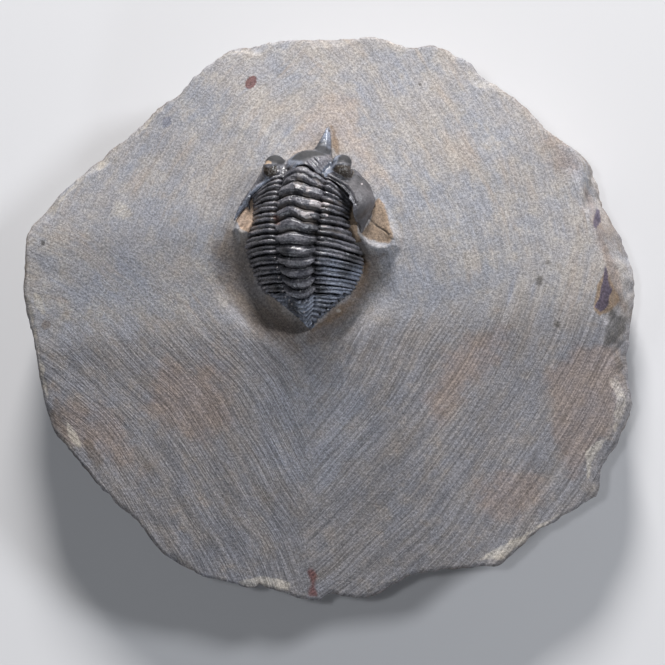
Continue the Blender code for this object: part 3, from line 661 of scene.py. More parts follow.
def dome_height(x, y):
    total = 0.0
    for direction, slope in FACETS:
        turn = math.radians(direction)
        away = (x - APEX[0]) * math.cos(turn) + (y - APEX[1]) * math.sin(turn)
        total = total + np.exp((away * math.tan(math.radians(slope)) - APEX_HEIGHT) / FACET_BLEND)
    return -FACET_BLEND * np.log(total)


def ground_height(places):
    """Height of the ground rock, with its hollow and ledges, at places in plan."""
    right, forward = world_to_body(*places.T)
    reach = np.hypot(
        (right - TRENCH_MIDDLE[0]) / TRENCH_RADII[0], (forward - TRENCH_MIDDLE[1]) / TRENCH_RADII[1]
    )
    start = np.where(right > 0, TRENCH_START_RIGHT, TRENCH_START_LEFT)
    wall = smooth_step((1.0 - reach) / TRENCH_WALL)
    trench = TRENCH_DEPTH * wall * smooth_step((-forward - start) / TRENCH_END_WALL)
    height = dome_height(*places.T)
    for outline, rise in zip((RIGHT_LEDGE, LEFT_LEDGE), LEDGE_RISE):
        depth = area_depth(places, [from_pixel(*spot, LEDGE_LEVEL) for spot in outline])
        share = smooth_step(0.5 + depth / LEDGE_WALL)
        lip = LIP_RISE * bump_at(depth, *LIP_SHAPE)
        lip = lip * smooth_step((-forward - LIP_START) / LIP_FADE)
        height = height + rise * share + lip
        trench = trench * (1.0 - share)
    return height - trench


def smooth_loop(points, steps=4):
    """Closed smooth curve through points."""
    count = len(points)
    loop = []
    for i in range(count):
        p0, p1, p2, p3 = (np.array(points[(i + k) % count]) for k in (-1, 0, 1, 2))
        for step in range(steps):
            t = step / steps
            loop.append(
                0.5 * (2 * p1 + (p2 - p0) * t + (2 * p0 - 5 * p1 + 4 * p2 - p3) * t * t
                       + (3 * p1 - p0 - 3 * p2 + p3) * t ** 3)
            )
    return np.array(loop)


def reaches(loop, middle, turns):
    """Distance from the middle to a closed loop along each direction."""
    start = loop - middle
    edge = np.roll(start, -1, axis=0) - start
    best = np.zeros(len(turns))
    for i, turn in enumerate(turns):
        way = np.array((math.cos(turn), math.sin(turn)))
        cross = way[0] * edge[:, 1] - way[1] * edge[:, 0]
        cross = np.where(np.abs(cross) < 1e-9, 1e-9, cross)
        distance = (start[:, 0] * edge[:, 1] - start[:, 1] * edge[:, 0]) / cross
        place = (start[:, 0] * way[1] - start[:, 1] * way[0]) / cross
        best[i] = distance[(place >= -1e-6) & (place <= 1.0 + 1e-6)].max()
    return best


def facing(turns, direction, spread):
    """1 where a turn looks along a direction, falling to 0 at the spread, all in degrees."""
    away = np.abs((np.degrees(turns) - direction + 180.0) % 360.0 - 180.0)
    return smooth_step(1.0 - away / spread)


def grid_faces(rows, columns, closed=False):
    """Quads of a grid of points, walked row by row."""
    across = np.arange(columns if closed else columns - 1)
    a = (np.arange(rows - 1)[:, None] * columns + across).ravel()
    b = (np.arange(rows - 1)[:, None] * columns + (across + 1) % columns).ravel()
    return np.stack([a, b, b + columns, a + columns], axis=1)


def new_mesh(name, points, faces):
    """Closed mesh from points in mm, with its faces turned outward."""
    mesh = bpy.data.meshes.new(name)
    mesh.from_pydata(points * MM, [], [tuple(face) for face in faces])
    mesh.update()
    shape = bmesh.new()
    shape.from_mesh(mesh)
    bmesh.ops.recalc_face_normals(shape, faces=shape.faces)
    shape.to_mesh(mesh)
    shape.free()
    return mesh


def make_object(name, data):
    made = bpy.data.objects.new(name, data)
    bpy.context.collection.objects.link(made)
    return made


def make_piece(name, mesh, material, marks, node):
    """Object with painted marks, standing for a solid of the model."""
    piece = make_object(name, mesh)
    mesh.shade_smooth()
    mesh.materials.clear()
    mesh.materials.append(material)
    for mark, values in marks.items():
        layer = mesh.attributes.new(mark, "FLOAT", "POINT")
        layer.data.foreach_set("value", np.ascontiguousarray(values, dtype=np.float32))
    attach(piece, "root")
    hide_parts(node)


def change(thing, settings):
    """Set attributes of a node, modifier or lamp."""
    for key, value in settings.items():
        setattr(thing, key, value)


def edge_mark(depth, soft):
    """0.5 on an area's edge, 1 inside and 0 outside, over a softness."""
    return smooth_step(0.5 + depth / (2.0 * soft))


def add_mark(marks, name, values):
    """Paint more of a mark, where it isn't stronger already."""
    marks[name] = np.maximum(marks[name], values)


def blank_marks(tints, count):
    return {row[0]: np.zeros(count) for row in tints}


class Nodes:
    """Short hands for building one material's nodes."""

    def __init__(self, name):
        self.material = bpy.data.materials.new(name)
        self.material.use_nodes = True
        self.tree = self.material.node_tree
        self.shader = self.tree.nodes["Principled BSDF"]
        self.where = self.add("TexCoord", "Object", {})

    def fill(self, node, inputs):
        """Give a node's inputs their plain values, or link sockets into them."""
        for key, value in inputs.items():
            if isinstance(value, bpy.types.NodeSocket):
                self.tree.links.new(value, node.inputs[key])
            else:
                node.inputs[key].default_value = value

    def add(self, kind, output, inputs, **settings):
        """Output of a new node with its settings made and its inputs filled."""
        made = self.tree.nodes.new("ShaderNode" + kind)
        change(made, settings)
        self.fill(made, inputs)
        return made.outputs[output]

    def math(self, kind, first, second):
        return self.add("Math", "Value", {0: first, 1: second}, operation=kind)

    def vector(self, kind, first, second=None, scale=None, output="Vector"):
        inputs = {0: first, 1: second, "Scale": scale}
        inputs = {key: value for key, value in inputs.items() if value is not None}
        return self.add("VectorMath", output, inputs, operation=kind)

    def ramp(self, source, low, high, out_low=0.0, out_high=1.0):
        """Source mapped so that low and high give the two outer values."""
        rows = {"Value": source, "From Min": low, "From Max": high}
        rows.update({"To Min": out_low, "To Max": out_high})
        return self.add("MapRange", "Result", rows, interpolation_type="SMOOTHSTEP")

    def mark(self, name):
        return self.add("Attribute", "Fac", {}, attribute_name=name)

    def texture(self, place, scale, detail, roughness, output="Fac"):
        rows = {"Vector": place, "Scale": scale, "Detail": detail, "Roughness": roughness}
        return self.add("TexNoise", output, rows)

    def grain(self, size, detail=3.0):
        """Noise with features of a size in mm, centred on 0.5."""
        place = self.vector("MULTIPLY", self.where, (1.0 / (size * MM),) * 3)
        return self.texture(place, 1.0, detail, 0.6)

    def mix(self, first, second, factor, kind="RGBA"):
        """Value between two colours or sockets by a factor socket."""
        inputs = {"A": first, "B": second, "Factor": factor}
        for key, value in inputs.items():
            inputs[key] = (*value, 1.0) if isinstance(value, tuple) else value
        return self.add("Mix", "Result", inputs, data_type=kind)

    def tints(self, colour, rows, edge):
        """Painted marks laid over a colour, their edges broken up by noise."""
        for name, tint, softness, strength in rows:
            shifted = self.math("ADD", self.mark(name), edge)
            mask = self.ramp(shifted, 0.5 - softness, 0.5 + softness, 0.0, strength)
            colour = self.mix(colour, tint, mask)
        return colour

    def strokes(self, centre, width, turns):
        """Grinding strokes that run round a centre in plan."""
        bend = self.texture(self.where, 1.0 / (STROKE_BEND * MM), 1.0, 0.5, "Color")
        sway = self.vector("SCALE", bend, scale=STROKE_SWAY * MM)
        moved = self.vector("ADD", self.where, sway)
        middle = (centre[0] * MM, centre[1] * MM, 0.0)
        shift = self.vector("SUBTRACT", moved, middle)
        flat = self.vector("MULTIPLY", shift, (1.0, 1.0, 0.0))
        round_way = self.vector("SCALE", self.vector("NORMALIZE", flat), scale=turns)
        away = self.math("DIVIDE", self.vector("LENGTH", flat, output="Value"), width * MM)
        upright = self.add("CombineXYZ", "Vector", {"Z": away})
        place = self.vector("ADD", round_way, upright)
        return self.texture(place, 1.0, 3.0, 0.62)

    def all_strokes(self, wider, fewer):
        """The families of strokes, each over its own part of the rock."""
        mixed = None
        for name, centre, width, turns in STROKES:
            lines = self.strokes(centre, width * wider, turns * fewer)
            if mixed is not None:
                lines = self.mix(mixed, lines, self.mark(name), "FLOAT")
            mixed = lines
        return mixed

    def surface(self, colour, rough, specular, relief, strength, depth):
        """Fill in the shader, with relief of a strength and a depth in mm."""
        bump = {"Height": relief, "Strength": strength, "Distance": depth * MM}
        inputs = {"Base Color": colour, "Roughness": rough, "Specular IOR Level": specular}
        self.fill(self.shader, {**inputs, "Normal": self.add("Bump", "Normal", bump)})
        return self.material


def rock_material():
    nodes = Nodes("ground_limestone")
    blotch = nodes.grain(11.0, 4.0)
    drift = nodes.grain(3.2, 4.0)
    fleck = nodes.grain(0.42)
    speck = nodes.grain(0.22, 1.0)
    edge = nodes.math("MULTIPLY", nodes.math("SUBTRACT", drift, 0.5), 1.1)
    colour = nodes.mix(ROCK_COOL, ROCK_WARM, nodes.ramp(blotch, 0.3, 0.7))
    streak = nodes.all_strokes(9.0, 0.8)
    for tint, source, low, high, strength in (
        (STREAK_DARK, streak, 0.40, 0.25, 0.8), (STREAK_WARM, streak, 0.52, 0.75, 0.6),
        (DRIFT_PALE, drift, 0.45, 0.75, 0.85),
    ):
        colour = nodes.mix(colour, tint, nodes.ramp(source, low, high, 0.0, strength))
    colour = nodes.tints(colour, ROCK_TINTS, edge)
    patch = nodes.math("MULTIPLY", nodes.math("ADD", streak, drift), 0.5)
    hue = nodes.mix(*ROCK_HUES, nodes.ramp(patch, 0.38, 0.62))
    colour = nodes.vector("MULTIPLY", colour, hue)
    mixed = nodes.all_strokes(1.0, 1.0)
    # Scratches show more strongly over the same lower area as the painted shade
    scored = nodes.ramp(nodes.mark("lower"), 0.0, 1.0, 0.36, 1.0)
    scratches = nodes.math("MULTIPLY", nodes.ramp(mixed, 0.32, 0.68, -0.26, 0.34), scored)
    flecks = nodes.ramp(fleck, 0.3, 0.7, 0.77, 1.23)
    tone = nodes.math("MULTIPLY", nodes.math("ADD", scratches, 1.0), flecks)
    tone = nodes.math("MULTIPLY", tone, nodes.ramp(speck, 0.3, 0.7, 0.80, 1.20))
    relief = nodes.math("MULTIPLY", mixed, nodes.math("MULTIPLY", scored, 0.8))
    relief = nodes.math("ADD", relief, nodes.math("MULTIPLY", fleck, 0.7))
    return nodes.surface(nodes.vector("SCALE", colour, scale=tone), 0.8, 0.3, relief, 0.6, 0.28)


def shell_material():
    nodes = Nodes("glossy_fossil")
    cloud = nodes.grain(2.2, 4.0)
    fine = nodes.grain(0.4, 4.0)
    edge = nodes.math("MULTIPLY", nodes.math("SUBTRACT", nodes.grain(0.8), 0.5), 1.0)
    colour = nodes.mix(SHELL_DARK, SHELL_LIGHT, nodes.ramp(cloud, 0.35, 0.65))
    colour = nodes.tints(colour, SHELL_TINTS, edge)
    # Crests lighter than grooves: partly worn shell, partly painted highlight and shade
    ridge_wear_and_painted_light = nodes.ramp(nodes.mark("ridge"), 0.1, 1.0, 1.0, 1.95)
    tone = nodes.math("MULTIPLY", nodes.ramp(fine, 0.3, 0.7, 0.7, 1.35), ridge_wear_and_painted_light)
    dull = nodes.ramp(nodes.mark("dull"), 0.0, 1.0, 0.0, 0.58)
    rough = nodes.math("ADD", nodes.ramp(fine, 0.3, 0.7, 0.16, 0.34), dull)
    return nodes.surface(nodes.vector("SCALE", colour, scale=tone), rough, 0.75, fine, 0.8, 0.12)


def rock_marks(points, top, fresh):
    pixels = to_pixels(points)
    seen = top | (points[:, 0] > 40.0)
    wobble = layers(points, STAIN_NOISE)
    marks = blank_marks(ROCK_TINTS, len(points))
    for name, soft, outline in ROCK_AREAS:
        depth = area_depth(pixels, outline) + wobble * soft * 0.5
        add_mark(marks, name, edge_mark(depth, soft) * seen)
    for name, middle, radii, tilt in ROCK_SPOTS:
        turn = math.radians(tilt)
        dx, dy = pixels[:, 0] - middle[0], middle[1] - pixels[:, 1]
        u = (dx * math.cos(turn) + dy * math.sin(turn)) / radii[0]
        v = (dy * math.cos(turn) - dx * math.sin(turn)) / radii[1]
        add_mark(marks, name, edge_mark((1.0 - np.hypot(u, v)) * min(radii), 0.8) * top)
    crack = bump_at(line_distance(pixels, CRACK), 0.0, 0.7)
    # Patchy umber over the broken sides and the underside
    add_mark(marks, "umber_and_painted_shade", 0.75 * (~top) * smooth_step(0.4 + layers(points, WALL_NOISE)))
    add_mark(marks, "fresh", 0.6 * fresh * smooth_step(0.5 + 1.2 * noise(points, 5.0, 8.0)))
    add_mark(marks, "dark", 0.9 * crack * top)
    for name, borders in ROCK_FADES:
        marks[name] = np.ones(len(points))
        for start, across, up, width in borders:
            marks[name] *= smooth_step((start + points[:, :2] @ (across, up)) / width)
    return marks


def rim_reach(middle, turns, ways):
    """Distance from the middle to the chipped rim, and the bevel's drop there."""
    around = np.column_stack([ways * RIM_RADIUS, turns * 0.0])
    depth, size = RIM_FLAKES
    far = reaches(smooth_loop(RIM), middle, turns) + RIM_OUT - depth * scars(around, size)
    drop = BEVEL_LEAST + BEVEL_MORE * np.clip(noise(around, 5.3, 7.7) - 0.05, 0.0, 1.0)
    return far + layers(around, RIM_NOISE), drop


def side_rings(rim):
    """Rings of points from the rim down the broken side to the flat underside."""
    flat = rim[:, :2]
    out = flat / np.linalg.norm(flat, axis=1)[:, None]
    rim_turns = np.arctan2(flat[:, 1], flat[:, 0])
    tuck = FRONT_TUCK * facing(rim_turns, *TUCK_FACING)
    belly = RIGHT_BULGE * facing(rim_turns, *BULGE_FACING) - tuck
    foot = belly - FOOT_TUCK - tuck
    start = rim[:, 2] - SIDE_START
    rings = []
    for share in np.arange(SIDE_RINGS) / (SIDE_RINGS - 1):
        height = start + (FOOT_HEIGHT - start) * share
        down = np.where(height > BELLY_HEIGHT, (start - height) / (start - BELLY_HEIGHT), 1.0)
        below = np.clip((BELLY_HEIGHT - height) / (BELLY_HEIGHT - FOOT_HEIGHT), 0.0, 1.0)
        outward = BEVEL_OUT + (belly - BEVEL_OUT) * down + (foot - belly) * below
        place = np.column_stack([flat + out * outward[:, None], height])
        rough = SIDE_OUT + layers(place, SIDE_NOISE)
        for depth, size, shift in SIDE_FLAKES:
            rough = rough - depth * scars(place + shift, size)
        swell = np.sin(np.pi * min(share + SIDE_SWELL[0], 1.0)) ** SIDE_SWELL[1]
        place[:, :2] += out * (np.minimum(rough, SIDE_MOST) * swell)[:, None]
        rings.append(place)
    rings.append(np.column_stack([flat + out * (foot - FOOT_BEVEL)[:, None], np.zeros(SPOKES)]))
    return rings


def make_rock(material):
    middle = np.array(body_to_world(*FOOTPRINT_MIDDLE))
    turns = 2.0 * np.pi * np.arange(SPOKES) / SPOKES
    ways = np.stack([np.cos(turns), np.sin(turns)], axis=1)
    near = reaches(smooth_loop([body_to_world(*place) for place in HOLLOW]), middle, turns)
    far, drop = rim_reach(middle, turns, ways)
    rings = [np.array([[*middle, bed_height(middle)]])]
    for share in np.linspace(BED_START, 1.0, BED_RINGS):
        place = middle + ways * (near * share)[:, None]
        rings.append(np.column_stack([place, bed_height(place)]))
    span = (far - near)[:, None]
    inner = np.tile(np.linspace(0.0, INNER_REACH, INNER_RINGS + 1)[1:], (SPOKES, 1))
    share = np.linspace(0.0, 1.0, FACET_RINGS + 1)[1:] ** FACET_SPACING
    between = INNER_REACH + (span - (INNER_REACH + EDGE_REACH)) * share
    outer = span - EDGE_REACH + np.linspace(0.0, EDGE_REACH, EDGE_RINGS + 1)[1:]
    rim_height = ground_height(middle + ways * far[:, None])
    fresh = [np.zeros(1 + SPOKES * BED_RINGS)]
    height, size = BEVEL_FLAKES
    for gap in np.concatenate([inner, between, outer], axis=1).T:
        place = middle + ways * (near + gap)[:, None]
        level = np.column_stack([place, ground_height(place)])
        level[:, 2] += smooth_step((gap - 0.3) / 3.0) * layers(level, GROUND_NOISE)
        bevel = rim_height - drop + BEVEL_SLOPE * (span[:, 0] - gap)
        bevel = bevel + height * scars(level, size) + BEVEL_SOFT
        fresh.append(smooth_step((level[:, 2] - bevel) / BEVEL_SOFT))
        level[:, 2] = np.minimum(level[:, 2], bevel)
        rings.append(level)
    fresh = np.concatenate(fresh)
    points = np.concatenate(rings + side_rings(rings[-1]))
    count = len(points)
    faces = [tuple(face) for face in grid_faces(count // SPOKES, SPOKES, closed=True) + 1]
    faces += [(0, 1 + i, 1 + (i + 1) % SPOKES) for i in range(SPOKES)]
    faces.append(tuple(range(count - SPOKES, count)))
    top = np.arange(count) < len(fresh)
    crack = bump_at(line_distance(to_pixels(points), CRACK), 0.0, CRACK_WIDTH)
    points[:, 2] -= CRACK_DEPTH * crack * top
    marks = rock_marks(points, top, np.pad(fresh, (0, count - len(fresh))))
    make_piece("rock", new_mesh("rock", points, faces), material, marks, "matrix")


def ring_bow(u, s):
    """Forward shift of an axial ring across the lobe, u from -1 to 1."""
    away = np.abs(u - along(BOW_MIDDLE, s))
    hump = smooth_step((along(BOW_HALF, s) + 0.4 - away) / 0.8) + 0.2 * bump_at(u, 0.66, 0.16)
    fade = smooth_step((1.25 - np.abs(u)) / 0.45)
    side_bow = 0.18 * bump_at(np.abs(u), 0.95, 0.16) * (s > 1.5)
    return (0.9 * along(RING_BOW, s) * hump + side_bow) * fade


def ridge(share, rise, fall):
    return smooth_step(share / rise) * smooth_step((1.0 - share) / fall)


def relief(s, side, share, number):
    """Height above the plain back, and how much of it is ridge, at arrays of places."""
    u = np.abs(side) / LOBE_SHARE
    place = np.stack([side * 10.0, s, np.full_like(s, number * 3.7)], axis=1)
    thread = noise(place * (0.35, 1.0, 1.0), 0.33, 2.0)
    warp = share + np.sin(np.pi * share) * layers(place, WARP_NOISE)
    halves = warp * 2.0 % 1.0
    fold = halves if number == 0 else warp
    ring = ridge(fold, 0.5 if number == SEGMENTS else 0.3, 0.4)
    ring = ring * (0.86 + 0.28 * noise(place, 1.3, 4.0) + 0.16 * bump_at(u, 0.84, 0.13))
    band = ridge(halves, 0.42, 0.42) * (1.0 + 0.35 * noise(place, 1.2, 8.0) + 0.22 * thread)
    if number == SEGMENTS:
        band = ridge(warp, 0.5, 0.4) * 0.8
    late = smooth_step((s - 7.0) / 6.0)
    front, rear = (height + step * late for height, step in (FRONT_BAND, REAR_BAND))
    tall = np.where(warp < 0.5, front, rear)
    high = {0: NECK_RING, SEGMENTS: TAIL_RING}.get(number, SEGMENT_RING)
    inside = smooth_step((1.04 - u) / 0.08)
    height = high * ring * inside * (1.0 + 0.07 * thread) + tall * band * (1.0 - inside)
    nick = -NICK_DEPTH * smooth_step((noise(place, 0.9, 12.0) - 0.5) / 0.2)
    fine = (layers(place, GRIT_NOISE) + nick) * smooth_step((1.0 - flank_share(side)) / 0.1 + 0.3)
    crest = ring * inside + band * (1.0 - inside)
    return height + fine, np.clip(crest, 0.0, 1.0)


def body_marks(points, s, side, crest):
    pixels = to_pixels(points)
    patchy = layers(points, PATCH_NOISE)
    marks = blank_marks(SHELL_TINTS, len(points))
    # The ridge mark lightens crests in the material: partly worn shell, partly painted highlight
    marks["ridge"] = crest
    pale = edge_mark(area_depth(pixels, SCUFFED), 8.0)
    marks["scuff_and_painted_glint"] = pale * smooth_step((patchy - 0.1) / 0.4) * smooth_step((crest - 0.4) / 0.3)
    right = smooth_step((side - 0.3) / 0.5) * smooth_step((s - 11.0) / 7.0)
    # Painted sheen: bluish grey over the right rear flank and the tail, with a little everywhere
    marks["blue_painted_sheen"] = np.maximum(0.8 * right, smooth_step((s - 20.5) / 4.0)) + 0.2 * patchy
    marks["red"] = edge_mark(area_depth(pixels, REDDISH), 2.0) * 0.8
    early = smooth_step((12.0 - s) / 6.0 + 0.35)
    marks["dust"] = (1.0 - crest) * smooth_step(0.35 + patchy) * early
    marks["olive"] = 0.2 + 0.6 * noise(points, 2.6, 7.0)
    marks["dull"] = 0.6 * marks["dust"]
    # Pale dots on the knobs are painted glints; near-black dots in the pits are painted shade
    for name, spots, width in (("scuff_and_painted_glint", KNOBS, 1.0), ("pit_painted_shade", PITS, 1.6)):
        add_mark(marks, name, np.max(dots(pixels, spots, width), axis=0))
    return marks


def plate_piece(name, node, number, s, side, share, widen, soft, material):
    """Closed plate from rows of s by columns of side."""
    grid = s.shape
    s, side, share, widen, soft = (part.ravel() for part in (s, side, share, widen, soft))
    plain = back_points(s - ring_bow(side / LOBE_SHARE, s), side, widen).reshape(*grid, 3)
    normal = np.cross(np.gradient(plain, axis=1), np.gradient(plain, axis=0)).reshape(-1, 3)
    normal *= np.sign(normal[:, 2:])
    normal /= np.linalg.norm(normal, axis=1)[:, None]
    plain = plain.reshape(-1, 3)
    height, crest = relief(s, side, share, number)
    height = height * soft
    for spots, (tall, width) in ((KNOBS, KNOB_SHAPE), (PITS, PIT_SHAPE)):
        height += tall * sum(dots(to_pixels(plain), spots, width))
    top = plain + normal * height[:, None]
    raised = np.maximum(side, 0.0) ** RIGHT_RISE_POWER * smooth_step((9.5 - s) / 5.0)
    top[:, 2] += RIGHT_RISE * raised
    floor = bed_height(top) + JOINT
    top[:, 2] = np.maximum(top[:, 2], floor + LEAST_THICKNESS)
    low = np.column_stack([top[:, :2], floor])
    skin = grid_faces(*grid)
    count = len(top)
    index = np.arange(count).reshape(grid)
    rim = np.concatenate([index[0], index[1:, -1], index[-1, -2::-1], index[-2:0:-1, 0]])
    after = np.roll(rim, -1)
    wall = np.stack([rim, after, after + count, rim + count], axis=1)
    faces = np.concatenate([skin, skin[:, ::-1] + count, wall])
    marks = body_marks(top, s, side, crest * np.clip(soft + 0.3, 0.0, 1.0))
    marks = {key: np.concatenate([value, value]) for key, value in marks.items()}
    mesh = new_mesh(name, np.concatenate([top, low]), faces)
    make_piece(name, mesh, material, marks, node)


def make_body(material):
    start = JOINT / 2
    side = np.linspace(-1.0, 1.0, COLUMNS)
    share, sides = np.meshgrid(np.linspace(0.0, 1.0, ROWS), side, indexing="ij")
    widen = -PLATE_END_TUCK * np.abs(2.0 * share - 1.0) ** 3
    soft = np.ones_like(share)
    for number in range(SEGMENTS):
        pitch = FIRST_PITCH + (LAST_PITCH - FIRST_PITCH) * number / (SEGMENTS - 1)
        s = start + share * (pitch - JOINT)
        names = [f"{title}_{number + 1:02d}" for title in ("thorax_plate", "thorax_segment")]
        plate_piece(*names, number, s, sides, share, widen, soft, material)
        start += pitch
    run, sides = np.meshgrid(np.linspace(0.0, 1.0, TAIL_ROWS), side, indexing="ij")
    s = start + (TAIL_END - start) * run
    flank = flank_share(sides)
    phase = TAIL_RIBS * run ** 0.85
    share = (phase - 0.7 * flank * (1.0 - 0.4 * run)) % 1.0
    border = smooth_step((1.0 - flank) * (1.0 - 0.55 * run) / 0.16 - 0.6)
    soft = (1.15 - 0.35 * run) * (0.15 + 0.85 * border) * smooth_step((1.02 - run) / 0.12)
    widen = TAIL_SCALLOP * (np.cos(2.0 * np.pi * phase) - 1.0)
    plate_piece("tail_shield", "pygidium", SEGMENTS, s, sides, share, widen, soft, material)


def head_matrix():
    height = float(along(CREST, 0.0))
    return (
        Matrix.Translation((*NECK, height))
        @ Matrix.Rotation(math.radians(-HEAD_TURN), 4, "Z")
        @ Matrix.Rotation(math.radians(-HEAD_PITCH), 4, "X")
        @ Matrix.Rotation(math.radians(-HEAD_LEAN), 4, "Y")
    )


def add_ball(shape, frame, centre, radii):
    place = frame @ Matrix.Translation(centre) @ Matrix.Diagonal((*radii, 1.0))
    bmesh.ops.create_uvsphere(shape, u_segments=48, v_segments=32, radius=1.0, matrix=place)


def add_spine(shape, joints):
    """Tapered limb through a row of (right, forward, height, radius)."""
    spots = [
        (Vector((*body_to_world(right, forward), height)), radius)
        for right, forward, height, radius in joints
    ]
    for (root, thick), (tip, thin) in zip(spots, spots[1:]):
        run = tip - root
        turn = run.to_track_quat("Z", "Y").to_matrix().to_4x4()
        bmesh.ops.create_cone(
            shape, cap_ends=True, segments=32, radius1=thick, radius2=thin, depth=run.length,
            matrix=Matrix.Translation((root + tip) / 2) @ turn,
        )
        add_ball(shape, Matrix.Identity(4), root, (thick, thick, thick))


def body_cutter():
    """Upright block over the thorax's plan, a joint's width larger than it."""
    spots = np.arange(0.0, CUTTER_REACH, CUTTER_STEP)
    strip = smooth_step((spots - 1.0) / 2.5)
    right, left = (
        back_points(spots, np.full_like(spots, hand), JOINT + gap * strip)
        for hand, gap in zip((1.0, -1.0), CHEEK_STRIP)
    )
    across = np.linspace(-1.0, 1.0, CUTTER_COLUMNS)
    bow = ring_bow(across / LOBE_SHARE, np.zeros(CUTTER_COLUMNS))
    front = back_points(-JOINT / 2 - bow, across, JOINT)
    outline = np.concatenate([front, right, left[::-1]])[:, :2]
    count = len(outline)
    ends = [np.column_stack([outline, np.full(count, height)]) for height in CUTTER_HEIGHTS]
    faces = [tuple(range(count)), tuple(range(2 * count - 1, count - 1, -1))]
    faces += [(i, (i + 1) % count, count + (i + 1) % count, count + i) for i in range(count)]
    return make_object("body_cutter", new_mesh("body_cutter", np.concatenate(ends), faces))


def head_skin():
    """Mesh of the head's forms joined into one skin and cut clear of the thorax."""
    shape = bmesh.new()
    frame = head_matrix()
    for centre, radii in HEAD_FORMS:
        add_ball(shape, frame, centre, radii)
    for hand in (-1.0, 1.0):
        for centre, radii in (EYE_BODY, EYE_CAP, EYE_FOOT):
            add_ball(shape, frame, (centre[0] * hand, centre[1], centre[2]), radii)
    for spine in (RIGHT_CHEEK_SPINE, LEFT_CHEEK_SPINE, FRONT_SPINE):
        add_spine(shape, spine)
    bmesh.ops.scale(shape, vec=(MM, MM, MM), verts=shape.verts)
    mesh = bpy.data.meshes.new("head_forms")
    shape.to_mesh(mesh)
    shape.free()
    head = make_object("head_forms", mesh)
    cutter = body_cutter()
    for kind, settings in (
        ("REMESH", {"mode": "VOXEL", "voxel_size": HEAD_VOXEL * MM}), ("SMOOTH", {"iterations": 6}),
        ("BOOLEAN", {"operation": "DIFFERENCE", "solver": "EXACT", "object": cutter}),
        ("REMESH", {"mode": "VOXEL", "voxel_size": FINE_VOXEL * MM}), ("SMOOTH", {"iterations": 2}),
    ):
        change(head.modifiers.new(kind.lower(), kind), settings)
    view = bpy.context.evaluated_depsgraph_get()
    mesh = bpy.data.meshes.new_from_object(head.evaluated_get(view))
    bpy.data.objects.remove(head)
    bpy.data.objects.remove(cutter)
    return mesh


def make_head(material):
    mesh = head_skin()
    count = len(mesh.vertices)
    points = np.zeros(count * 3)
    normals = np.zeros(count * 3)
    mesh.vertices.foreach_get("co", points)
    mesh.vertices.foreach_get("normal", normals)
    points = points.reshape(-1, 3) / MM
    normals = normals.reshape(-1, 3)
    inverse = np.array(head_matrix().inverted())
    own = points @ inverse[:3, :3].T + inverse[:3, 3]
    towards = normals @ np.array(camera_axes()[2])
    pixels = to_pixels(points)
    marks = head_marks(own, points, pixels, towards)
    lift = head_relief(own, points, pixels, towards, marks)
    points = points + normals * lift[:, None]
    points[:, 2] = np.maximum(points[:, 2], bed_height(points) + JOINT)
    mesh.vertices.foreach_set("co", (points * MM).ravel())
    mesh.update()
    make_piece("head_shield", mesh, material, marks, "cephalon")


def head_marks(own, points, pixels, towards):
    marks = blank_marks(SHELL_TINTS, len(own))
    seen = smooth_step((towards - 0.1) / 0.35)
    for outline in LENS_FIELDS:
        add_mark(marks, "lens", edge_mark(area_depth(pixels, outline), 0.8) * seen)
    for hand in (-1.0, 1.0):
        gap = (own - np.array(EYE_BODY[0]) * (hand, 1.0, 1.0)) / np.array(EYE_BODY[1])
        near = smooth_step((1.25 - np.linalg.norm(gap, axis=1)) / 0.15)
        away = (gap[:, 0] * hand - 0.35, 0.45 - gap[:, 2], 0.25 - towards)
        add_mark(marks, "lens", near * np.prod([smooth_step(part / 0.2) for part in away], axis=0))
    for name, soft, outline in HEAD_AREAS:
        depth = area_depth(pixels, outline) + 1.2 * noise(points, 0.7, 3.0)
        add_mark(marks, name, edge_mark(depth, soft) * seen)
    cap = smooth_step((own[:, 1] - 3.2) / 0.8) * smooth_step((np.abs(own[:, 0]) - 4.4) / 0.6)
    marks["dull"] = np.maximum(marks["olive"], 0.6 * cap) + 0.3 * marks["cheek"]
    add_mark(marks, "olive", 0.3 + 0.5 * noise(points, 2.5, 7.0))
    # Painted glint: a pale spot on the right cheek
    marks["scuff_and_painted_glint"] = 0.9 * dots(pixels, [CHEEK_GLINT], 1.3)[0] * seen
    return marks


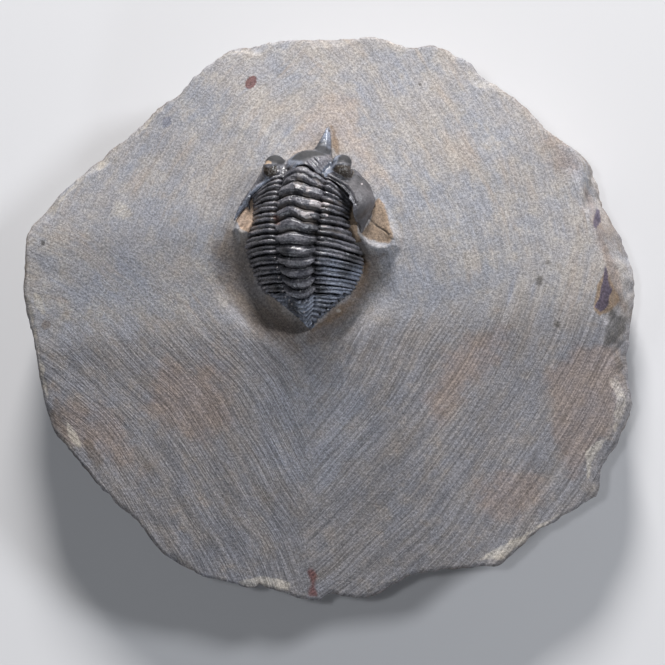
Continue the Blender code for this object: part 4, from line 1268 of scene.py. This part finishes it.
def head_relief(own, points, pixels, towards, marks):
    seen = smooth_step(towards / 0.15)
    drawn = np.zeros(len(own))
    for height, width, line in HEAD_LINES:
        drawn += height * bump_at(line_distance(pixels, line), 0.0, width)
    calm = 1.0 - 0.7 * np.maximum(marks["blue_painted_sheen"], marks["cheek"])
    turn = np.arctan2(own[:, 1] - EYE_BODY[0][1], np.abs(own[:, 0]) - EYE_BODY[0][0])
    rows = np.cos(own[:, 2] * 2.0 * np.pi / LENS_PITCH)
    lens = LENS_HEIGHT * np.cos(turn * LENS_TURNS) * rows - LENS_SINK
    # Painted highlight and shade: raised lines of the head lighter, grooves darker
    marks["ridge"] = np.clip(0.72 + 1.6 * drawn * seen, 0.0, 1.0)
    return drawn * seen + calm * layers(points, HEAD_NOISE) + lens * marks["lens"]


def make_stage():
    mesh = bpy.data.meshes.new("floor")
    corners = product((-FLOOR_REACH, FLOOR_REACH), (-FLOOR_REACH, FLOOR_REACH), (0.0,))
    mesh.from_pydata(list(corners), [], [(0, 2, 3, 1)])
    nodes = Nodes("pale_paper")
    nodes.fill(nodes.shader, {"Base Color": FLOOR_GREY, "Roughness": 0.9})
    mesh.materials.append(nodes.material)
    make_object("floor", mesh)


def make_lights():
    for name, place, size, power, colour in LIGHTS:
        lamp = bpy.data.lights.new(name, "AREA")
        change(lamp, {"shape": "DISK", "size": size, "energy": power, "color": colour})
        light = make_object(name, lamp)
        light.location = place
        aim = Vector(AIM) * MM - Vector(place)
        light.rotation_euler = aim.to_track_quat("-Z", "Y").to_euler()
    world = bpy.data.worlds.new("room")
    bpy.context.scene.world = world
    world.use_nodes = True
    room = world.node_tree.nodes["Background"].inputs
    room["Color"].default_value = (*ROOM[0], 1.0)
    room["Strength"].default_value = ROOM[1]


def make_camera():
    right, up, back = camera_axes()
    data = bpy.data.cameras.new("camera")
    data.sensor_width = SENSOR
    data.lens = SENSOR * DISTANCE / (IMAGE_SIDE * PIXEL)
    data.clip_start = 0.01
    camera = make_object("camera", data)
    place = (Vector(AIM) + back * DISTANCE) * MM
    turn = Matrix((right, up, back)).transposed().to_4x4()
    camera.matrix_world = Matrix.Translation(place) @ turn
    bpy.context.scene.camera = camera


def main():
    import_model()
    shell = shell_material()
    make_rock(rock_material())
    make_body(shell)
    make_head(shell)
    make_stage()
    make_lights()
    make_camera()
    bpy.context.scene.view_settings.view_transform = "Standard"


main()
